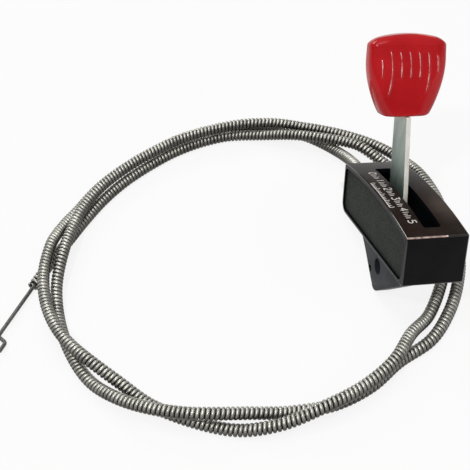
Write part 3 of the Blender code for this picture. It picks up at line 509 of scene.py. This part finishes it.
def prism(name, outline, low, high, order):
    """Extrude a closed outline; order says where u, v and the extrusion go in x, y, z."""
    def place(u, v, w):
        values = {"u": u, "v": v, "w": w}
        return tuple(values[key] for key in order)

    def build(work):
        start = [work.verts.new(place(u, v, low)) for u, v in outline]
        end = [work.verts.new(place(u, v, high)) for u, v in outline]
        work.faces.new(start)
        work.faces.new(list(reversed(end)))
        for i in range(len(outline)):
            j = (i + 1) % len(outline)
            work.faces.new((start[j], start[i], end[i], end[j]))

    return mesh_from(name, build)


def skin(work, rings):
    """Faces between each ring of vertices and the next, and one at each end. Gives the last one."""
    for first, second in zip(rings[:-1], rings[1:]):
        for i in range(len(first)):
            j = (i + 1) % len(first)
            work.faces.new((first[i], first[j], second[j], second[i]))
    work.faces.new(rings[0])
    return work.faces.new(rings[-1])


def helper(mesh, matrix=None):
    """An object for modelling only: a target or a cutter."""
    result = new_object(mesh.name, mesh)
    if matrix is not None:
        result.matrix_world = matrix
    return result


def drill(name, low, high, radius, place, rotation=None, segments=64):
    """A round cutter along its own X axis."""
    def build(work):
        rings = []
        for x in (low, high):
            rings.append([
                work.verts.new((x, radius * math.cos(turn), radius * math.sin(turn)))
                for turn in (math.tau * i / segments for i in range(segments))
            ])
        skin(work, rings)

    matrix = Matrix.Translation(place)
    if rotation is not None:
        matrix = matrix @ rotation
    return helper(mesh_from(name, build), matrix)


def bevel(target, width, segments, angle):
    change = target.modifiers.new("round", "BEVEL")
    change.width = width
    change.segments = segments
    change.limit_method = "ANGLE"
    change.angle_limit = math.radians(angle)


def combine(target, tools):
    """Apply cutters and additions to a target, and return its final mesh."""
    for tool, operation in tools:
        change = target.modifiers.new("combine", "BOOLEAN")
        change.operation = operation
        change.solver = "EXACT"
        change.object = tool
    graph = bpy.context.evaluated_depsgraph_get()
    mesh = bpy.data.meshes.new_from_object(target.evaluated_get(graph))
    for item in [target] + [tool for tool, operation in tools]:
        bpy.data.objects.remove(item, do_unlink=True)
    return mesh


# Housing and side covers

def crown_circle():
    """Centre and radius of the crown's arc, seen from the side."""
    rear = Vector((REAR_Y, REAR_HEIGHT))
    front = Vector((-REAR_Y, FRONT_HEIGHT))
    chord = (rear - front).length
    radius = chord * chord / (8 * CROWN_RISE) + CROWN_RISE / 2
    along = (rear - front).normalized()
    down = Vector((along.y, -along.x))
    return (rear + front) / 2 + down * (radius - CROWN_RISE), radius


def crown_height(y, inset=0.0):
    centre, radius = crown_circle()
    return centre.y + math.sqrt((radius - inset) ** 2 - (y - centre.x) ** 2)


def framed_outline(inset, corner):
    """The side's outline, smaller by an inset, with rounded corners."""
    end = REAR_Y - inset
    low = LOWER_EDGE + inset
    middle, radius = crown_circle()
    radius -= inset

    def under_crown(y):
        return middle.y + math.sqrt((radius - corner) ** 2 - (y - middle.x) ** 2)

    rear = Vector((end - corner, under_crown(end - corner)))
    front = Vector((corner - end, under_crown(corner - end)))
    turns = [math.atan2(spot.y - middle.y, spot.x - middle.x) for spot in (rear, front)]
    return (arc((corner - end, low + corner), corner, math.pi, 3 * math.pi / 2, 10)
            + arc((REAR_Y - HEEL_ROUND, LOWER_EDGE + HEEL_ROUND), HEEL_ROUND - inset, -math.pi / 2, 0, 16)
            + arc(rear, corner, 0, turns[0], 10)
            + arc(middle, radius, turns[0], turns[1], CROWN_STEPS)[1:-1]
            + arc(front, corner, turns[1], math.pi, 10))


def side_outline(inset, open_below=False):
    """The side's outline, smaller by an inset. An open one runs out below instead."""
    end = REAR_Y - inset
    below = [(-end, LOWER_EDGE + inset)]
    if open_below:
        below = [(-end, LOWER_EDGE - inset), (REAR_Y - HEEL_ROUND, LOWER_EDGE - inset)]
    heel = arc((REAR_Y - HEEL_ROUND, LOWER_EDGE + HEEL_ROUND), HEEL_ROUND - inset, -math.pi / 2, 0, 16)
    top = [end - 2 * end * i / CROWN_STEPS for i in range(CROWN_STEPS + 1)]
    return below + heel + [(y, crown_height(y, inset)) for y in top]


def rounded_oblong(left, right, front, rear, corner, steps):
    outline = []
    corners = ((right - corner, rear - corner), (left + corner, rear - corner),
               (left + corner, front + corner), (right - corner, front + corner))
    for i, centre in enumerate(corners):
        outline += arc(centre, corner, i * math.pi / 2, (i + 1) * math.pi / 2, steps)
    return outline


def lug_outline():
    """A straight front edge, a round tip and a hollow rear edge."""
    run = Vector((LUG_NOSE - LUG_TIP_Y, LOWER_EDGE - LUG_TIP_Z))
    front_angle = math.atan2(run.y, run.x) + math.pi / 2 - math.asin(LUG_TIP_RADIUS / run.length)
    tip = arc((LUG_TIP_Y, LUG_TIP_Z), LUG_TIP_RADIUS, LUG_TIP_LEAVES, front_angle - math.tau, 24)
    leave = Vector(tip[0])
    steps = 28
    hollow = []
    for i in range(steps):
        t = i / steps
        sunk = t * t * (1 + LUG_FULLNESS - LUG_FULLNESS * t)
        hollow.append((LUG_HEEL + (leave.x - LUG_HEEL) * t, leave.y * sunk))
    return [(LUG_NOSE, LUG_ROOT), (LUG_HEEL, LUG_ROOT)] + hollow + tip + [(LUG_NOSE, LOWER_EDGE)]


def build_housing():
    shell = helper(prism("housing_shell", side_outline(0.0), -SIDE_X, SIDE_X, "wuv"))
    bevel(shell, HOUSING_ROUND, segments=5, angle=35)
    cavity = helper(prism("cavity", side_outline(WALL, open_below=True), -INNER_X, INNER_X, "wuv"))
    lug = helper(prism("lug", lug_outline(), LUG_LEFT, LUG_LEFT + LUG_THICKNESS, "wuv"))
    bevel(lug, LUG_ROUND, segments=4, angle=50)
    tools = [(cavity, "DIFFERENCE"), (lug, "UNION")]
    for side in (-1, 1):
        low, high = sorted((side * RECESS_X, side * (SIDE_X + WALL)))
        recess = prism("recess", framed_outline(RIM, RECESS_CORNER), low, high, "wuv")
        tools.append((helper(recess), "DIFFERENCE"))
    outline = rounded_oblong(-SLOT_WIDTH / 2, SLOT_WIDTH / 2, SLOT_FRONT, SLOT_REAR, SLOT_CORNER, steps=8)
    tools.append((helper(prism("slot", outline, 16.0 * MM, 28.0 * MM, "uvw")), "DIFFERENCE"))
    quarter = Matrix.Rotation(math.pi / 2, 4, "Z")
    outlet = (CONDUIT_X, REAR_Y, CONDUIT_Z)
    for hole in (drill("passage", -4.0 * MM, 2.0 * MM, CONDUIT_RADIUS + GAP, outlet, quarter),
                 drill("bolt", -6.0 * MM, 12.0 * MM, BOLT_RADIUS, BOLT_PLACE),
                 drill("pin", -6.0 * MM, PIN_DEPTH, PIN_RADIUS, PIN_PLACE),
                 drill("bore", -14.0 * MM, 14.0 * MM, BORE_RADIUS, PIVOT)):
        tools.append((hole, "DIFFERENCE"))
    mesh = combine(shell, tools)
    mesh.name = "housing_shell"
    work = bmesh.new()
    work.from_mesh(mesh)
    bmesh.ops.bisect_plane(work, geom=work.verts[:] + work.edges[:] + work.faces[:], dist=1e-6,
                           plane_co=(HIGHLIGHT_EDGE_END_X, 0, 0), plane_no=(1, 0, 0))
    work.to_mesh(mesh)
    work.free()
    edge_x = SIDE_X - EDGE_BAND
    edge_y = FRONT_BAND - REAR_Y

    def on_lug(place, normal):
        return place.z < LOWER_EDGE - 0.05 * MM and place.x < LUG_LEFT + LUG_THICKNESS + 0.1 * MM

    # Faces of the crown, which get the painted brown sheen
    def on_crown(place, normal):
        return normal.z > 0.9 and place.z > FRONT_HEIGHT - CROWN_BAND

    def on_edge(place, normal):
        beside = 0.25 < abs(normal.x) < 0.97 and place.z > LOWER_EDGE and abs(place.x) > edge_x
        ahead = abs(normal.z) > 0.2 and normal.y < -0.2 and place.y < edge_y
        return beside or ahead

    # Faces that get the painted highlight: the left part of the front crease and the front part of the right
    # rim
    def on_highlight_edge(place, normal):
        ahead = 0.5 < normal.z < 0.9 and normal.y < -0.3 and place.y < edge_y
        beside = 0.45 < normal.x < 0.8 and normal.z > 0.5 and place.x > edge_x
        return (ahead and place.x < HIGHLIGHT_EDGE_END_X) or (beside and place.y < HIGHLIGHT_EDGE_END_Y)

    def inside(place, normal):
        within = abs(place.x) < INNER_X + 0.05 * MM and abs(place.y) < REAR_Y - WALL + 0.05 * MM
        return within and LOWER_EDGE < place.z < crown_height(place.y) - 0.4 * MM

    patches = [(surface, faces_where(mesh, chosen)) for surface, chosen in (
        (CROWN_SHEEN_BLACK, on_crown), (LUG_BLACK, on_lug), (EDGE_BLACK, on_edge), (EDGE_PAINTED_HIGHLIGHT, on_highlight_edge),
        (INNER_BLACK, inside))]
    shell = add_piece("housing_shell", mesh, CONTROL, GLOSS_BLACK, "control", ("housing",),
                      smooth=40)
    for surface, faces in patches:
        give(shell, surface, faces)


DIGITS = {    # strokes in a cell about 0.6 wide and 1 high
    0: [(0.3, 1), (0.1, 0.92), (0, 0.7), (0, 0.3), (0.1, 0.08), (0.3, 0), (0.5, 0.08), (0.6, 0.3), (0.6, 0.7),
        (0.5, 0.92), (0.3, 1)],
    1: [(0.1, 0.78), (0.35, 1), (0.35, 0)],
    2: [(0, 0.78), (0.1, 0.94), (0.3, 1), (0.5, 0.94), (0.6, 0.75), (0.5, 0.52), (0, 0), (0.62, 0)],
    3: [(0, 1), (0.58, 1), (0.26, 0.6), (0.5, 0.53), (0.6, 0.3), (0.5, 0.08), (0.28, 0), (0, 0.1)],
    4: [(0.46, 0), (0.46, 1), (0, 0.3), (0.64, 0.3)],
    5: [(0.56, 1), (0.08, 1), (0.03, 0.56), (0.3, 0.6), (0.54, 0.5), (0.6, 0.28), (0.5, 0.08), (0.25, 0),
        (0, 0.1)],
}


def scale_strokes():
    """Each stroke's points and its width, in millimetres seen from above."""
    strokes = []

    def tick(y, low, high):
        strokes.append(([(low, y), (high, y)], TICK_STROKE))

    for number, digit in DIGITS.items():
        y = DIGIT_START_Y - DIGIT_PITCH * number
        strokes.append(([(DIGIT_X + DIGIT_SIZE * v, y - DIGIT_SIZE * u) for u, v in digit], DIGIT_STROKE))
        if number < len(DIGITS) - 1:
            for i in range(4):
                tick(y - TICK_START - TICK_PITCH * i, TICK_X, SHORT_TICK_X if i % 2 else LONG_TICK_X)
    for i in range(RULE_COUNT):
        tick(RULE_START_Y - RULE_PITCH * i, RULE_X, RULE_SHORT_X if i % 4 else RULE_LONG_X)
    middle_y = RULE_START_Y - RULE_PITCH * (RULE_COUNT - 1) / 2
    end_y = RULE_START_Y - RULE_PITCH * (RULE_COUNT - 1)
    strokes.append(([(RULE_X, RULE_START_Y), (RULE_X, middle_y), (RULE_X, end_y)], TICK_STROKE))
    return strokes


def divided(points):
    """The same line in steps short enough to follow the crown."""
    fine = []
    for (xa, ya), (xb, yb) in zip(points[:-1], points[1:]):
        parts = max(1, math.ceil(abs(yb - ya) / PRINT_STEP))
        fine += [(xa + (xb - xa) * k / parts, ya + (yb - ya) * k / parts) for k in range(parts)]
    fine.append(points[-1])
    return fine


def build_scale():
    """Two printed rows beside the slot: numbers with ticks, and a finer row of ticks."""
    def build(work):
        for points, width in scale_strokes():
            line = divided(points)
            rings = []
            for i, (x, y) in enumerate(line):
                xa, ya = line[max(i - 1, 0)]
                xb, yb = line[min(i + 1, len(line) - 1)]
                length = math.hypot(xb - xa, yb - ya) or 1.0
                nx = -(yb - ya) / length * width / 2
                ny = (xb - xa) / length * width / 2
                ring = []
                for side, lift in ((1, PRINT_TOP), (-1, PRINT_TOP), (-1, PRINT_BOTTOM), (1, PRINT_BOTTOM)):
                    px = (x + side * nx) * MM
                    py = (y + side * ny) * MM
                    ring.append(work.verts.new((px, py, crown_height(py) + lift * MM)))
                rings.append(ring)
            skin(work, rings)

    add_piece("dial_print", mesh_from("dial_print", build), CONTROL, PRINT, "control", smooth=30)


def build_covers():
    for side, name in ((-1, "left"), (1, "right")):
        outer = SIDE_X - COVER_SETBACK
        low, high = sorted((side * outer, side * (outer - COVER_THICKNESS)))
        outline = framed_outline(RIM + COVER_PLAY, RECESS_CORNER - COVER_PLAY)
        plate = helper(prism(name + "_panel", outline, low, high, "wuv"))
        bevel(plate, COVER_ROUND, segments=3, angle=40)
        add_piece(name + "_panel", combine(plate, []), CONTROL, TEXTURED, "control",
                  (name + "_side_cover",))


# Lever and knob

def build_lever():
    neck_top = KNOB_FOOT - GAP
    foot = arc((0, 0), LEVER_FOOT_RADIUS, math.radians(200), math.radians(340), 32)
    edge = [(LEVER_HALF_WIDTH, LEVER_WIDE_FROM), (LEVER_HALF_WIDTH, LEVER_WIDE_TO),
            (LEVER_HALF_NECK, neck_top), (LEVER_HALF_TANG, neck_top),
            (LEVER_HALF_TANG, LEVER_LENGTH - LEVER_CHAMFER), (LEVER_HALF_TANG - LEVER_CHAMFER, LEVER_LENGTH)]
    outline = foot + edge + [(-y, z) for y, z in reversed(edge)]
    blade = helper(prism("lever_blade", outline, -LEVER_THICKNESS / 2, LEVER_THICKNESS / 2, "wuv"))
    bevel(blade, LEVER_ROUND, segments=3, angle=40)
    bore = drill("lever_bore", -3.0 * MM, 3.0 * MM, BORE_RADIUS, (0, 0, 0), segments=48)
    low = WIRE_HOLE_HEIGHT - WIRE_HOLE_PLAY + WIRE_HOLE_RADIUS
    high = WIRE_HOLE_HEIGHT / math.cos(LEVER_SWING) + WIRE_HOLE_PLAY - WIRE_HOLE_RADIUS
    oblong = (arc((0, high), WIRE_HOLE_RADIUS, 0, math.pi, 16)
              + arc((0, low), WIRE_HOLE_RADIUS, math.pi, math.tau, 16))
    wire_hole = helper(prism("oblong", oblong, -3.0 * MM, 3.0 * MM, "wuv"))
    mesh = combine(blade, [(bore, "DIFFERENCE"), (wire_hole, "DIFFERENCE")])

    # The blade's narrow edge faces, which get the lighter edge colour with its painted highlight
    def on_edge(place, normal):
        return abs(normal.x) < 0.8 and place.z > LEVER_EDGE_FROM and abs(place.y) > LEVER_EDGE_OUT

    edges = faces_where(mesh, on_edge)
    give(add_piece("lever_blade", mesh, LEVER, BLADE, "lever", ("lever",)), BLADE_EDGE_AND_HIGHLIGHT, edges)


def knob_half_width(share):
    """Half the knob's width at a share of the height of its body."""
    grip = KNOB_WIDTH / 2
    rise = min(share / KNOB_WIDEST, 1.0)
    flare = math.sin(rise * math.pi / 2) ** KNOB_FLARE
    width = KNOB_FOOT_HALF_WIDTH + (grip - KNOB_FOOT_HALF_WIDTH) * flare
    return width - KNOB_TOP_NARROWING * max(0.0, share - KNOB_WIDEST) / (1 - KNOB_WIDEST)


def knob_half_thickness(share):
    narrowing = KNOB_THICKNESS_LOW - KNOB_THICKNESS_HIGH
    return (KNOB_THICKNESS_LOW - narrowing * max(0.0, 2 * share - 1) ** KNOB_TAPER) / 2


def knob_section(face_columns, end_columns):
    """A rounded oblong of half width and half thickness 1."""
    def across(value):
        return (1 - abs(value) ** KNOB_SQUARENESS) ** (1 / KNOB_SQUARENESS)

    face = [-KNOB_BROAD + 2 * KNOB_BROAD * i / face_columns for i in range(face_columns + 1)]
    edge = across(KNOB_BROAD)
    end = [-edge + 2 * edge * i / end_columns for i in range(1, end_columns)]
    half = [(x, -across(x)) for x in face] + [(across(y), y) for y in end]
    return half + [(-x, -y) for x, y in half]


def clamped(value):
    return max(0.0, min(1.0, value))


def knob_rib(x, share):
    """The grip's ribs: upright, bowed, each fading out above and below. Gives the strength here and the
    distance from the nearest crest, as a share of the pitch."""
    along = (share - 0.3) / 0.68
    bow = RIB_BOW * (1 - (2 * along - 1.1) ** 2)
    count = (x - bow - RIB_SHIFT) / RIB_PITCH
    number = round(count)
    low, high = RIB_ENDS.get(number, RIB_OTHER_ENDS)
    fade = clamped(min((share - low) / RIB_FADE, (high - share) / RIB_FADE))
    return fade * fade * (3 - 2 * fade), count - number


def rib_height(x, share):
    strength, away = knob_rib(x, share)
    return RIB_HEIGHT * strength * (0.5 + 0.5 * math.cos(math.tau * away)) ** 5


def build_knob():
    section = knob_section(face_columns=260, end_columns=26)
    rows = 90
    crown_rows = 14

    def foot_point(u, v, draw, rise):
        half = knob_half_width(0.0)
        wave = FOOT_WAVE * (1 + math.cos(math.tau * u * half / FOOT_WAVE_PITCH))
        x = u * (half - KNOB_LIP * draw)
        y = v * (knob_half_thickness(0.0) - KNOB_LIP * draw)
        return x, y, KNOB_FOOT + wave * (1 - rise) * (1 - draw * draw) + KNOB_LIP * rise

    def body_point(u, v, share):
        x = u * knob_half_width(share)
        y = v * knob_half_thickness(share)
        on_face = clamped((RIBS_END - abs(u)) / 0.04) * min(1.0, abs(v) * 2)
        y += math.copysign(rib_height(x, share) * on_face, v)
        return x, y, KNOB_FOOT + KNOB_LIP + share * (KNOB_BODY - KNOB_LIP)

    def crown_point(u, v, turn):
        draw = KNOB_CORNER * (1 - math.cos(turn))
        x = u * (knob_half_width(1.0) - draw)
        y = v * (knob_half_thickness(1.0) - draw * 0.92)
        drop = KNOB_CROWN_DROP * (2 * x / KNOB_WIDTH) ** 2 * math.sin(turn)
        return x, y, KNOB_FOOT + KNOB_BODY + KNOB_CORNER * math.sin(turn) - drop

    def build(work):
        rings = []
        for draw, rise in FOOT_RINGS:
            rings.append([work.verts.new(foot_point(u, v, draw, rise)) for u, v in section])
        for row in range(rows + 1):
            rings.append([work.verts.new(body_point(u, v, row / rows)) for u, v in section])
        for row in range(1, crown_rows + 1):
            turn = math.pi / 2 * row / crown_rows * 0.985
            rings.append([work.verts.new(crown_point(u, v, turn)) for u, v in section])
        bmesh.ops.triangulate(work, faces=[skin(work, rings)])

    def on_highlit_crest(place, normal):
        """The painted highlight along each rib, of an uneven width."""
        share = (place.z - KNOB_FOOT - KNOB_LIP) / (KNOB_BODY - KNOB_LIP)
        if abs(normal.y) < 0.7 or not 0.3 < share < 1.0:
            return False
        if abs(place.x) > HIGHLIGHT_END * knob_half_width(share):
            return False
        strength, away = knob_rib(place.x, share)
        half_width = HIGHLIGHT_HALF_WIDTH + HIGHLIGHT_VARIATION * math.sin(share * 23 + place.x / RIB_PITCH)
        return strength > 0.55 and abs(away - HIGHLIGHT_OFFSET) < half_width

    mesh = mesh_from("knob_grip", build)
    highlit = faces_where(mesh, on_highlit_crest)
    grip = add_piece("knob_grip", mesh, LEVER, RED, "lever", ("lever_knob",), smooth=60)
    give(grip, RIB_HIGHLIGHT_RED, highlit)


# Conduit and wires

def smooth_path(points, steps):
    """A smooth curve through all points, level where a rise or a fall begins or ends."""
    knots = [Vector(point) for point in points]
    spans = [(b - a).length for a, b in zip(knots[:-1], knots[1:])]
    tangents = [(knots[1] - knots[0]) / spans[0]]
    for i in range(1, len(knots) - 1):
        before = (knots[i] - knots[i - 1]) / spans[i - 1]
        after = (knots[i + 1] - knots[i]) / spans[i]
        tangent = (before * spans[i] + after * spans[i - 1]) / (spans[i] + spans[i - 1])
        if before.z * after.z <= 0:
            tangent.z = 0
        tangents.append(tangent)
    tangents.append((knots[-1] - knots[-2]) / spans[-1])
    result = [knots[0]]
    for i, length in enumerate(spans):
        for k in range(1, steps + 1):
            t = k / steps
            reached = 3 * t ** 2 - 2 * t ** 3
            leaving = tangents[i] * length * (t ** 3 - 2 * t ** 2 + t)
            arriving = tangents[i + 1] * length * (t ** 3 - t ** 2)
            result.append(knots[i] * (1 - reached) + knots[i + 1] * reached + leaving + arriving)
    return result


def frames_along(points):
    """Directions, a sideways vector that turns as little as possible, and the length so far."""
    directions = []
    for i in range(len(points)):
        a = points[max(i - 1, 0)]
        b = points[min(i + 1, len(points) - 1)]
        directions.append((b - a).normalized())
    side = directions[0].cross(Vector((0, 0, 1))).normalized()
    sides = [side]
    for before, after in zip(directions[:-1], directions[1:]):
        side = (before.rotation_difference(after) @ side)
        side = (side - after * side.dot(after)).normalized()
        sides.append(side)
    lengths = [0.0]
    for a, b in zip(points[:-1], points[1:]):
        lengths.append(lengths[-1] + (b - a).length)
    return directions, sides, lengths


def coil(name, points, start_turn=0.0, stretch_end=0.0):
    """Round wire wound close about a path, and its count of turns. The last turns can be pulled apart."""
    directions, sides, lengths = frames_along(points)
    total = lengths[-1]
    outside = [math.radians(angle) for angle in (-90, -50, -18, 18, 50, 90)]
    towards_bore = (-0.5, 0.0)
    section = [(math.cos(roll), math.sin(roll)) for roll in outside] + [towards_bore]
    middle = CONDUIT_RADIUS - COIL_WIRE_RADIUS
    stations = []
    distance = 0.0
    while distance < total:
        stations.append(distance)
        left = total - distance
        pitch = COIL_PITCH
        if stretch_end and left < COIL_LOOSE_LENGTH:
            pitch = COIL_PITCH * (1 + stretch_end * (1 - left / COIL_LOOSE_LENGTH))
        distance += pitch / COIL_STEPS_PER_TURN

    def build(work):
        rings = []
        at = 0
        for index, distance in enumerate(stations):
            while at < len(lengths) - 2 and lengths[at + 1] < distance:
                at += 1
            share = (distance - lengths[at]) / (lengths[at + 1] - lengths[at])
            centre = points[at].lerp(points[at + 1], share)
            forward = directions[at].lerp(directions[at + 1], share).normalized()
            side = sides[at].lerp(sides[at + 1], share).normalized()
            up = side.cross(forward)
            turn = start_turn + math.tau * index / COIL_STEPS_PER_TURN
            out = side * math.cos(turn) + up * math.sin(turn)
            ring = []
            for across, along in section:
                offset = out * (middle + COIL_WIRE_RADIUS * across) + forward * COIL_WIRE_RADIUS * along
                ring.append(work.verts.new(centre + offset))
            rings.append(ring)
        skin(work, rings)

    return mesh_from(name, build), len(stations) / COIL_STEPS_PER_TURN


def wire(name, points, radius, matrix, body, replaced):
    curve = bpy.data.curves.new(name, "CURVE")
    curve.dimensions = "3D"
    curve.bevel_depth = radius
    curve.bevel_resolution = 5
    curve.use_fill_caps = True
    spline = curve.splines.new("POLY")
    spline.points.add(len(points) - 1)
    for knot, point in zip(spline.points, points):
        knot.co = (*(matrix @ Vector(point)), 1.0)
    spline.use_smooth = True
    curve.materials.append(WIRE_STEEL)
    piece = new_object(name, curve)
    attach(piece, body)
    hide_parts(replaced)
    return piece


def rounded_path(corners, radius, steps):
    points = [Vector(corners[0])]
    for before, corner, after in zip(corners[:-2], corners[1:-1], corners[2:]):
        corner = Vector(corner)
        inward = (Vector(before) - corner).normalized()
        outward = (Vector(after) - corner).normalized()
        half = inward.angle(outward) / 2
        reach = radius / math.tan(half)
        middle = corner + (inward + outward).normalized() * radius / math.sin(half)
        first = corner + inward * reach - middle
        last = corner + outward * reach - middle
        points += [middle + first.slerp(last, i / steps).normalized() * radius for i in range(steps + 1)]
    points.append(Vector(corners[-1]))
    return points


def build_cable():
    outlet = Vector((CONDUIT_X, REAR_Y + HEAD_OUTSIDE, CONDUIT_Z))
    inlet = Vector((CONDUIT_X, REAR_Y - HEAD_INSIDE, CONDUIT_Z))
    steps = 12
    lowest = CONDUIT_RADIUS + FLOOR_CLEARANCE
    head_path = [CONTROL @ inlet.lerp(outlet, i / steps) for i in range(steps + 1)]
    head_mesh, head_turns = coil("conduit_head_coil", head_path)
    add_piece("conduit_head_coil", head_mesh, Matrix(), COIL_STEEL, "control",
              ("conduit_head",), smooth=None)

    tail_out = Vector((math.cos(TAIL_ANGLE), math.sin(TAIL_ANGLE), 0))
    path = [CONTROL @ outlet] + [Vector((p.x, p.y, max(p.z, lowest))) for p in smooth_path(ROUTE, steps=10)]
    path += [TAIL_START + tail_out * TAIL_LENGTH * i / steps for i in range(steps + 1)]
    mesh = coil("conduit_coil", path, start_turn=math.tau * head_turns, stretch_end=0.3)[0]
    conduit = add_piece("conduit_coil", mesh, Matrix(), COIL_STEEL, "control",
                        ("conduit", "conduit_tail"), smooth=None)

    bend = Vector((TAIL_LENGTH + WIRE_OUTSIDE, 0, 0))
    jog = bend + Vector((math.cos(JOG_ANGLE), math.sin(JOG_ANGLE), 0)) * JOG_LENGTH
    corners = [(TAIL_LENGTH - WIRE_INSIDE, 0, 0), bend, jog, jog + Vector((JOG_TIP, 0, 0))]
    end = wire("engine_wire_end", rounded_path(corners, WIRE_BEND_RADIUS, steps=10), WIRE_RADIUS, TAIL,
               "engine_wire", "wire_engine_end")


# Floor, light and camera

def build_stage():
    """A pale floor that takes shadows and mostly shows as white, but less so below the housing."""
    size = FLOOR_HALF_SIZE
    mesh = bpy.data.meshes.new("studio_floor")
    corners = [(-size, -size, 0), (size, -size, 0), (size, size, 0), (-size, size, 0)]
    mesh.from_pydata(corners, [], [(0, 1, 2, 3)])
    floor = new_object("studio_floor", mesh)
    surface, tree, shader = new_material("studio_floor")
    shader.inputs["Base Color"].default_value = (0.86, 0.86, 0.86, 1.0)
    shader.inputs["Roughness"].default_value = 0.9
    shader.inputs["Specular IOR Level"].default_value = 0.0
    white = tree.nodes.new("ShaderNodeEmission")
    white.inputs["Color"].default_value = (1.0, 1.0, 1.0, 1.0)
    white.inputs["Strength"].default_value = 1.0
    ray = tree.nodes.new("ShaderNodeLightPath")
    seen = combined(tree, "MAXIMUM", ray.outputs["Is Camera Ray"], ray.outputs["Is Glossy Ray"])
    seen = combined(tree, "MAXIMUM", seen, ray.outputs["Is Transmission Ray"])
    dark = None
    for axis, begins, full in DARK_FLOOR_EDGES:
        within = smooth_step(tree, axis_value(tree, "ShaderNodeTexCoord", "Object", axis), begins, full)
        dark = within if dark is None else combined(tree, "MULTIPLY", dark, within)
    share = combined(tree, "MULTIPLY", seen, span(tree, dark, FLOOR_WHITE_SHARE, 0.0))
    blend = tree.nodes.new("ShaderNodeMixShader")
    tree.links.new(share, blend.inputs["Fac"])
    tree.links.new(shader.outputs["BSDF"], blend.inputs[1])
    tree.links.new(white.outputs["Emission"], blend.inputs[2])
    tree.links.new(blend.outputs["Shader"], tree.nodes["Material Output"].inputs["Surface"])
    mesh.materials.append(surface)


def area_light(name, place, target, size, power, colour=(1.0, 1.0, 1.0)):
    data = bpy.data.lights.new(name, "AREA")
    data.shape = "DISK"
    data.size = size
    data.energy = power
    data.color = colour
    lamp = new_object(name, data)
    lamp.location = place
    lamp.rotation_euler = (Vector(target) - Vector(place)).to_track_quat("-Z", "Y").to_euler()
    return lamp


def build_light():
    world = bpy.data.worlds.new("studio")
    bpy.context.scene.world = world
    world.use_nodes = True
    tree = world.node_tree
    shade = tree.nodes["Background"]
    shade.inputs["Strength"].default_value = 1.0
    height = axis_value(tree, "ShaderNodeTexCoord", "Generated", "Z")
    tree.links.new(ramp(tree, height, SKY), shade.inputs["Color"])
    area_light("key", (-0.35, -0.35, 0.75), (-0.06, 0.02, 0.0), size=0.08, power=2.0)
    area_light("overhead", (-0.10, 0.05, 0.85), (-0.06, 0.02, 0.0), size=0.55, power=1.8)
    fill = area_light("fill", (0.55, -0.5, 0.45), (-0.03, 0.0, 0.02), size=0.3, power=0.8)
    fill.visible_glossy = False
    area_light("back", (-0.2, 0.7, 0.5), (-0.06, 0.03, 0.0), size=0.3, power=1.4)
    # A small lamp that shows in glossy surfaces only, as a studio's strip of light does
    glint = area_light("crown_glint", (0.55, 0.80, 0.18), (0.0, 0.0, 0.04), size=0.16, power=0.2,
                       colour=(1.0, 0.80, 0.66))
    glint.visible_diffuse = False


def build_camera():
    data = bpy.data.cameras.new("photo_view")
    data.sensor_width = SENSOR_WIDTH
    data.lens = SENSOR_WIDTH * FOCAL_PIXELS / PHOTO_PIXELS
    data.clip_start = 0.01
    camera = new_object("photo_view", data)
    aim = CAMERA_FORWARD.normalized().to_track_quat("-Z", "Y").to_matrix().to_4x4()
    camera.matrix_world = Matrix.Translation(CAMERA_PLACE) @ aim @ Matrix.Rotation(-CAMERA_ROLL, 4, "Z")
    bpy.context.scene.camera = camera


def dress_inner_nodes():
    """Materials for the CAD nodes that stay: the mechanism inside the housing."""
    surfaces = {
        "pivot_rivet": ZINC, "conduit_clamp": ZINC, "clamp_screw": ZINC, "wave_washer": WIRE_STEEL,
        "wire_lever_end": WIRE_STEEL, "left_friction_washer": FIBRE, "right_friction_washer": FIBRE,
    }
    for name, surface in surfaces.items():
        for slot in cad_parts[name].material_slots:
            slot.material = surface


bpy.context.scene.view_settings.view_transform = "Standard"
build_camera()
build_cable()
build_housing()
build_scale()
build_covers()
build_lever()
build_knob()
dress_inner_nodes()
build_stage()
build_light()
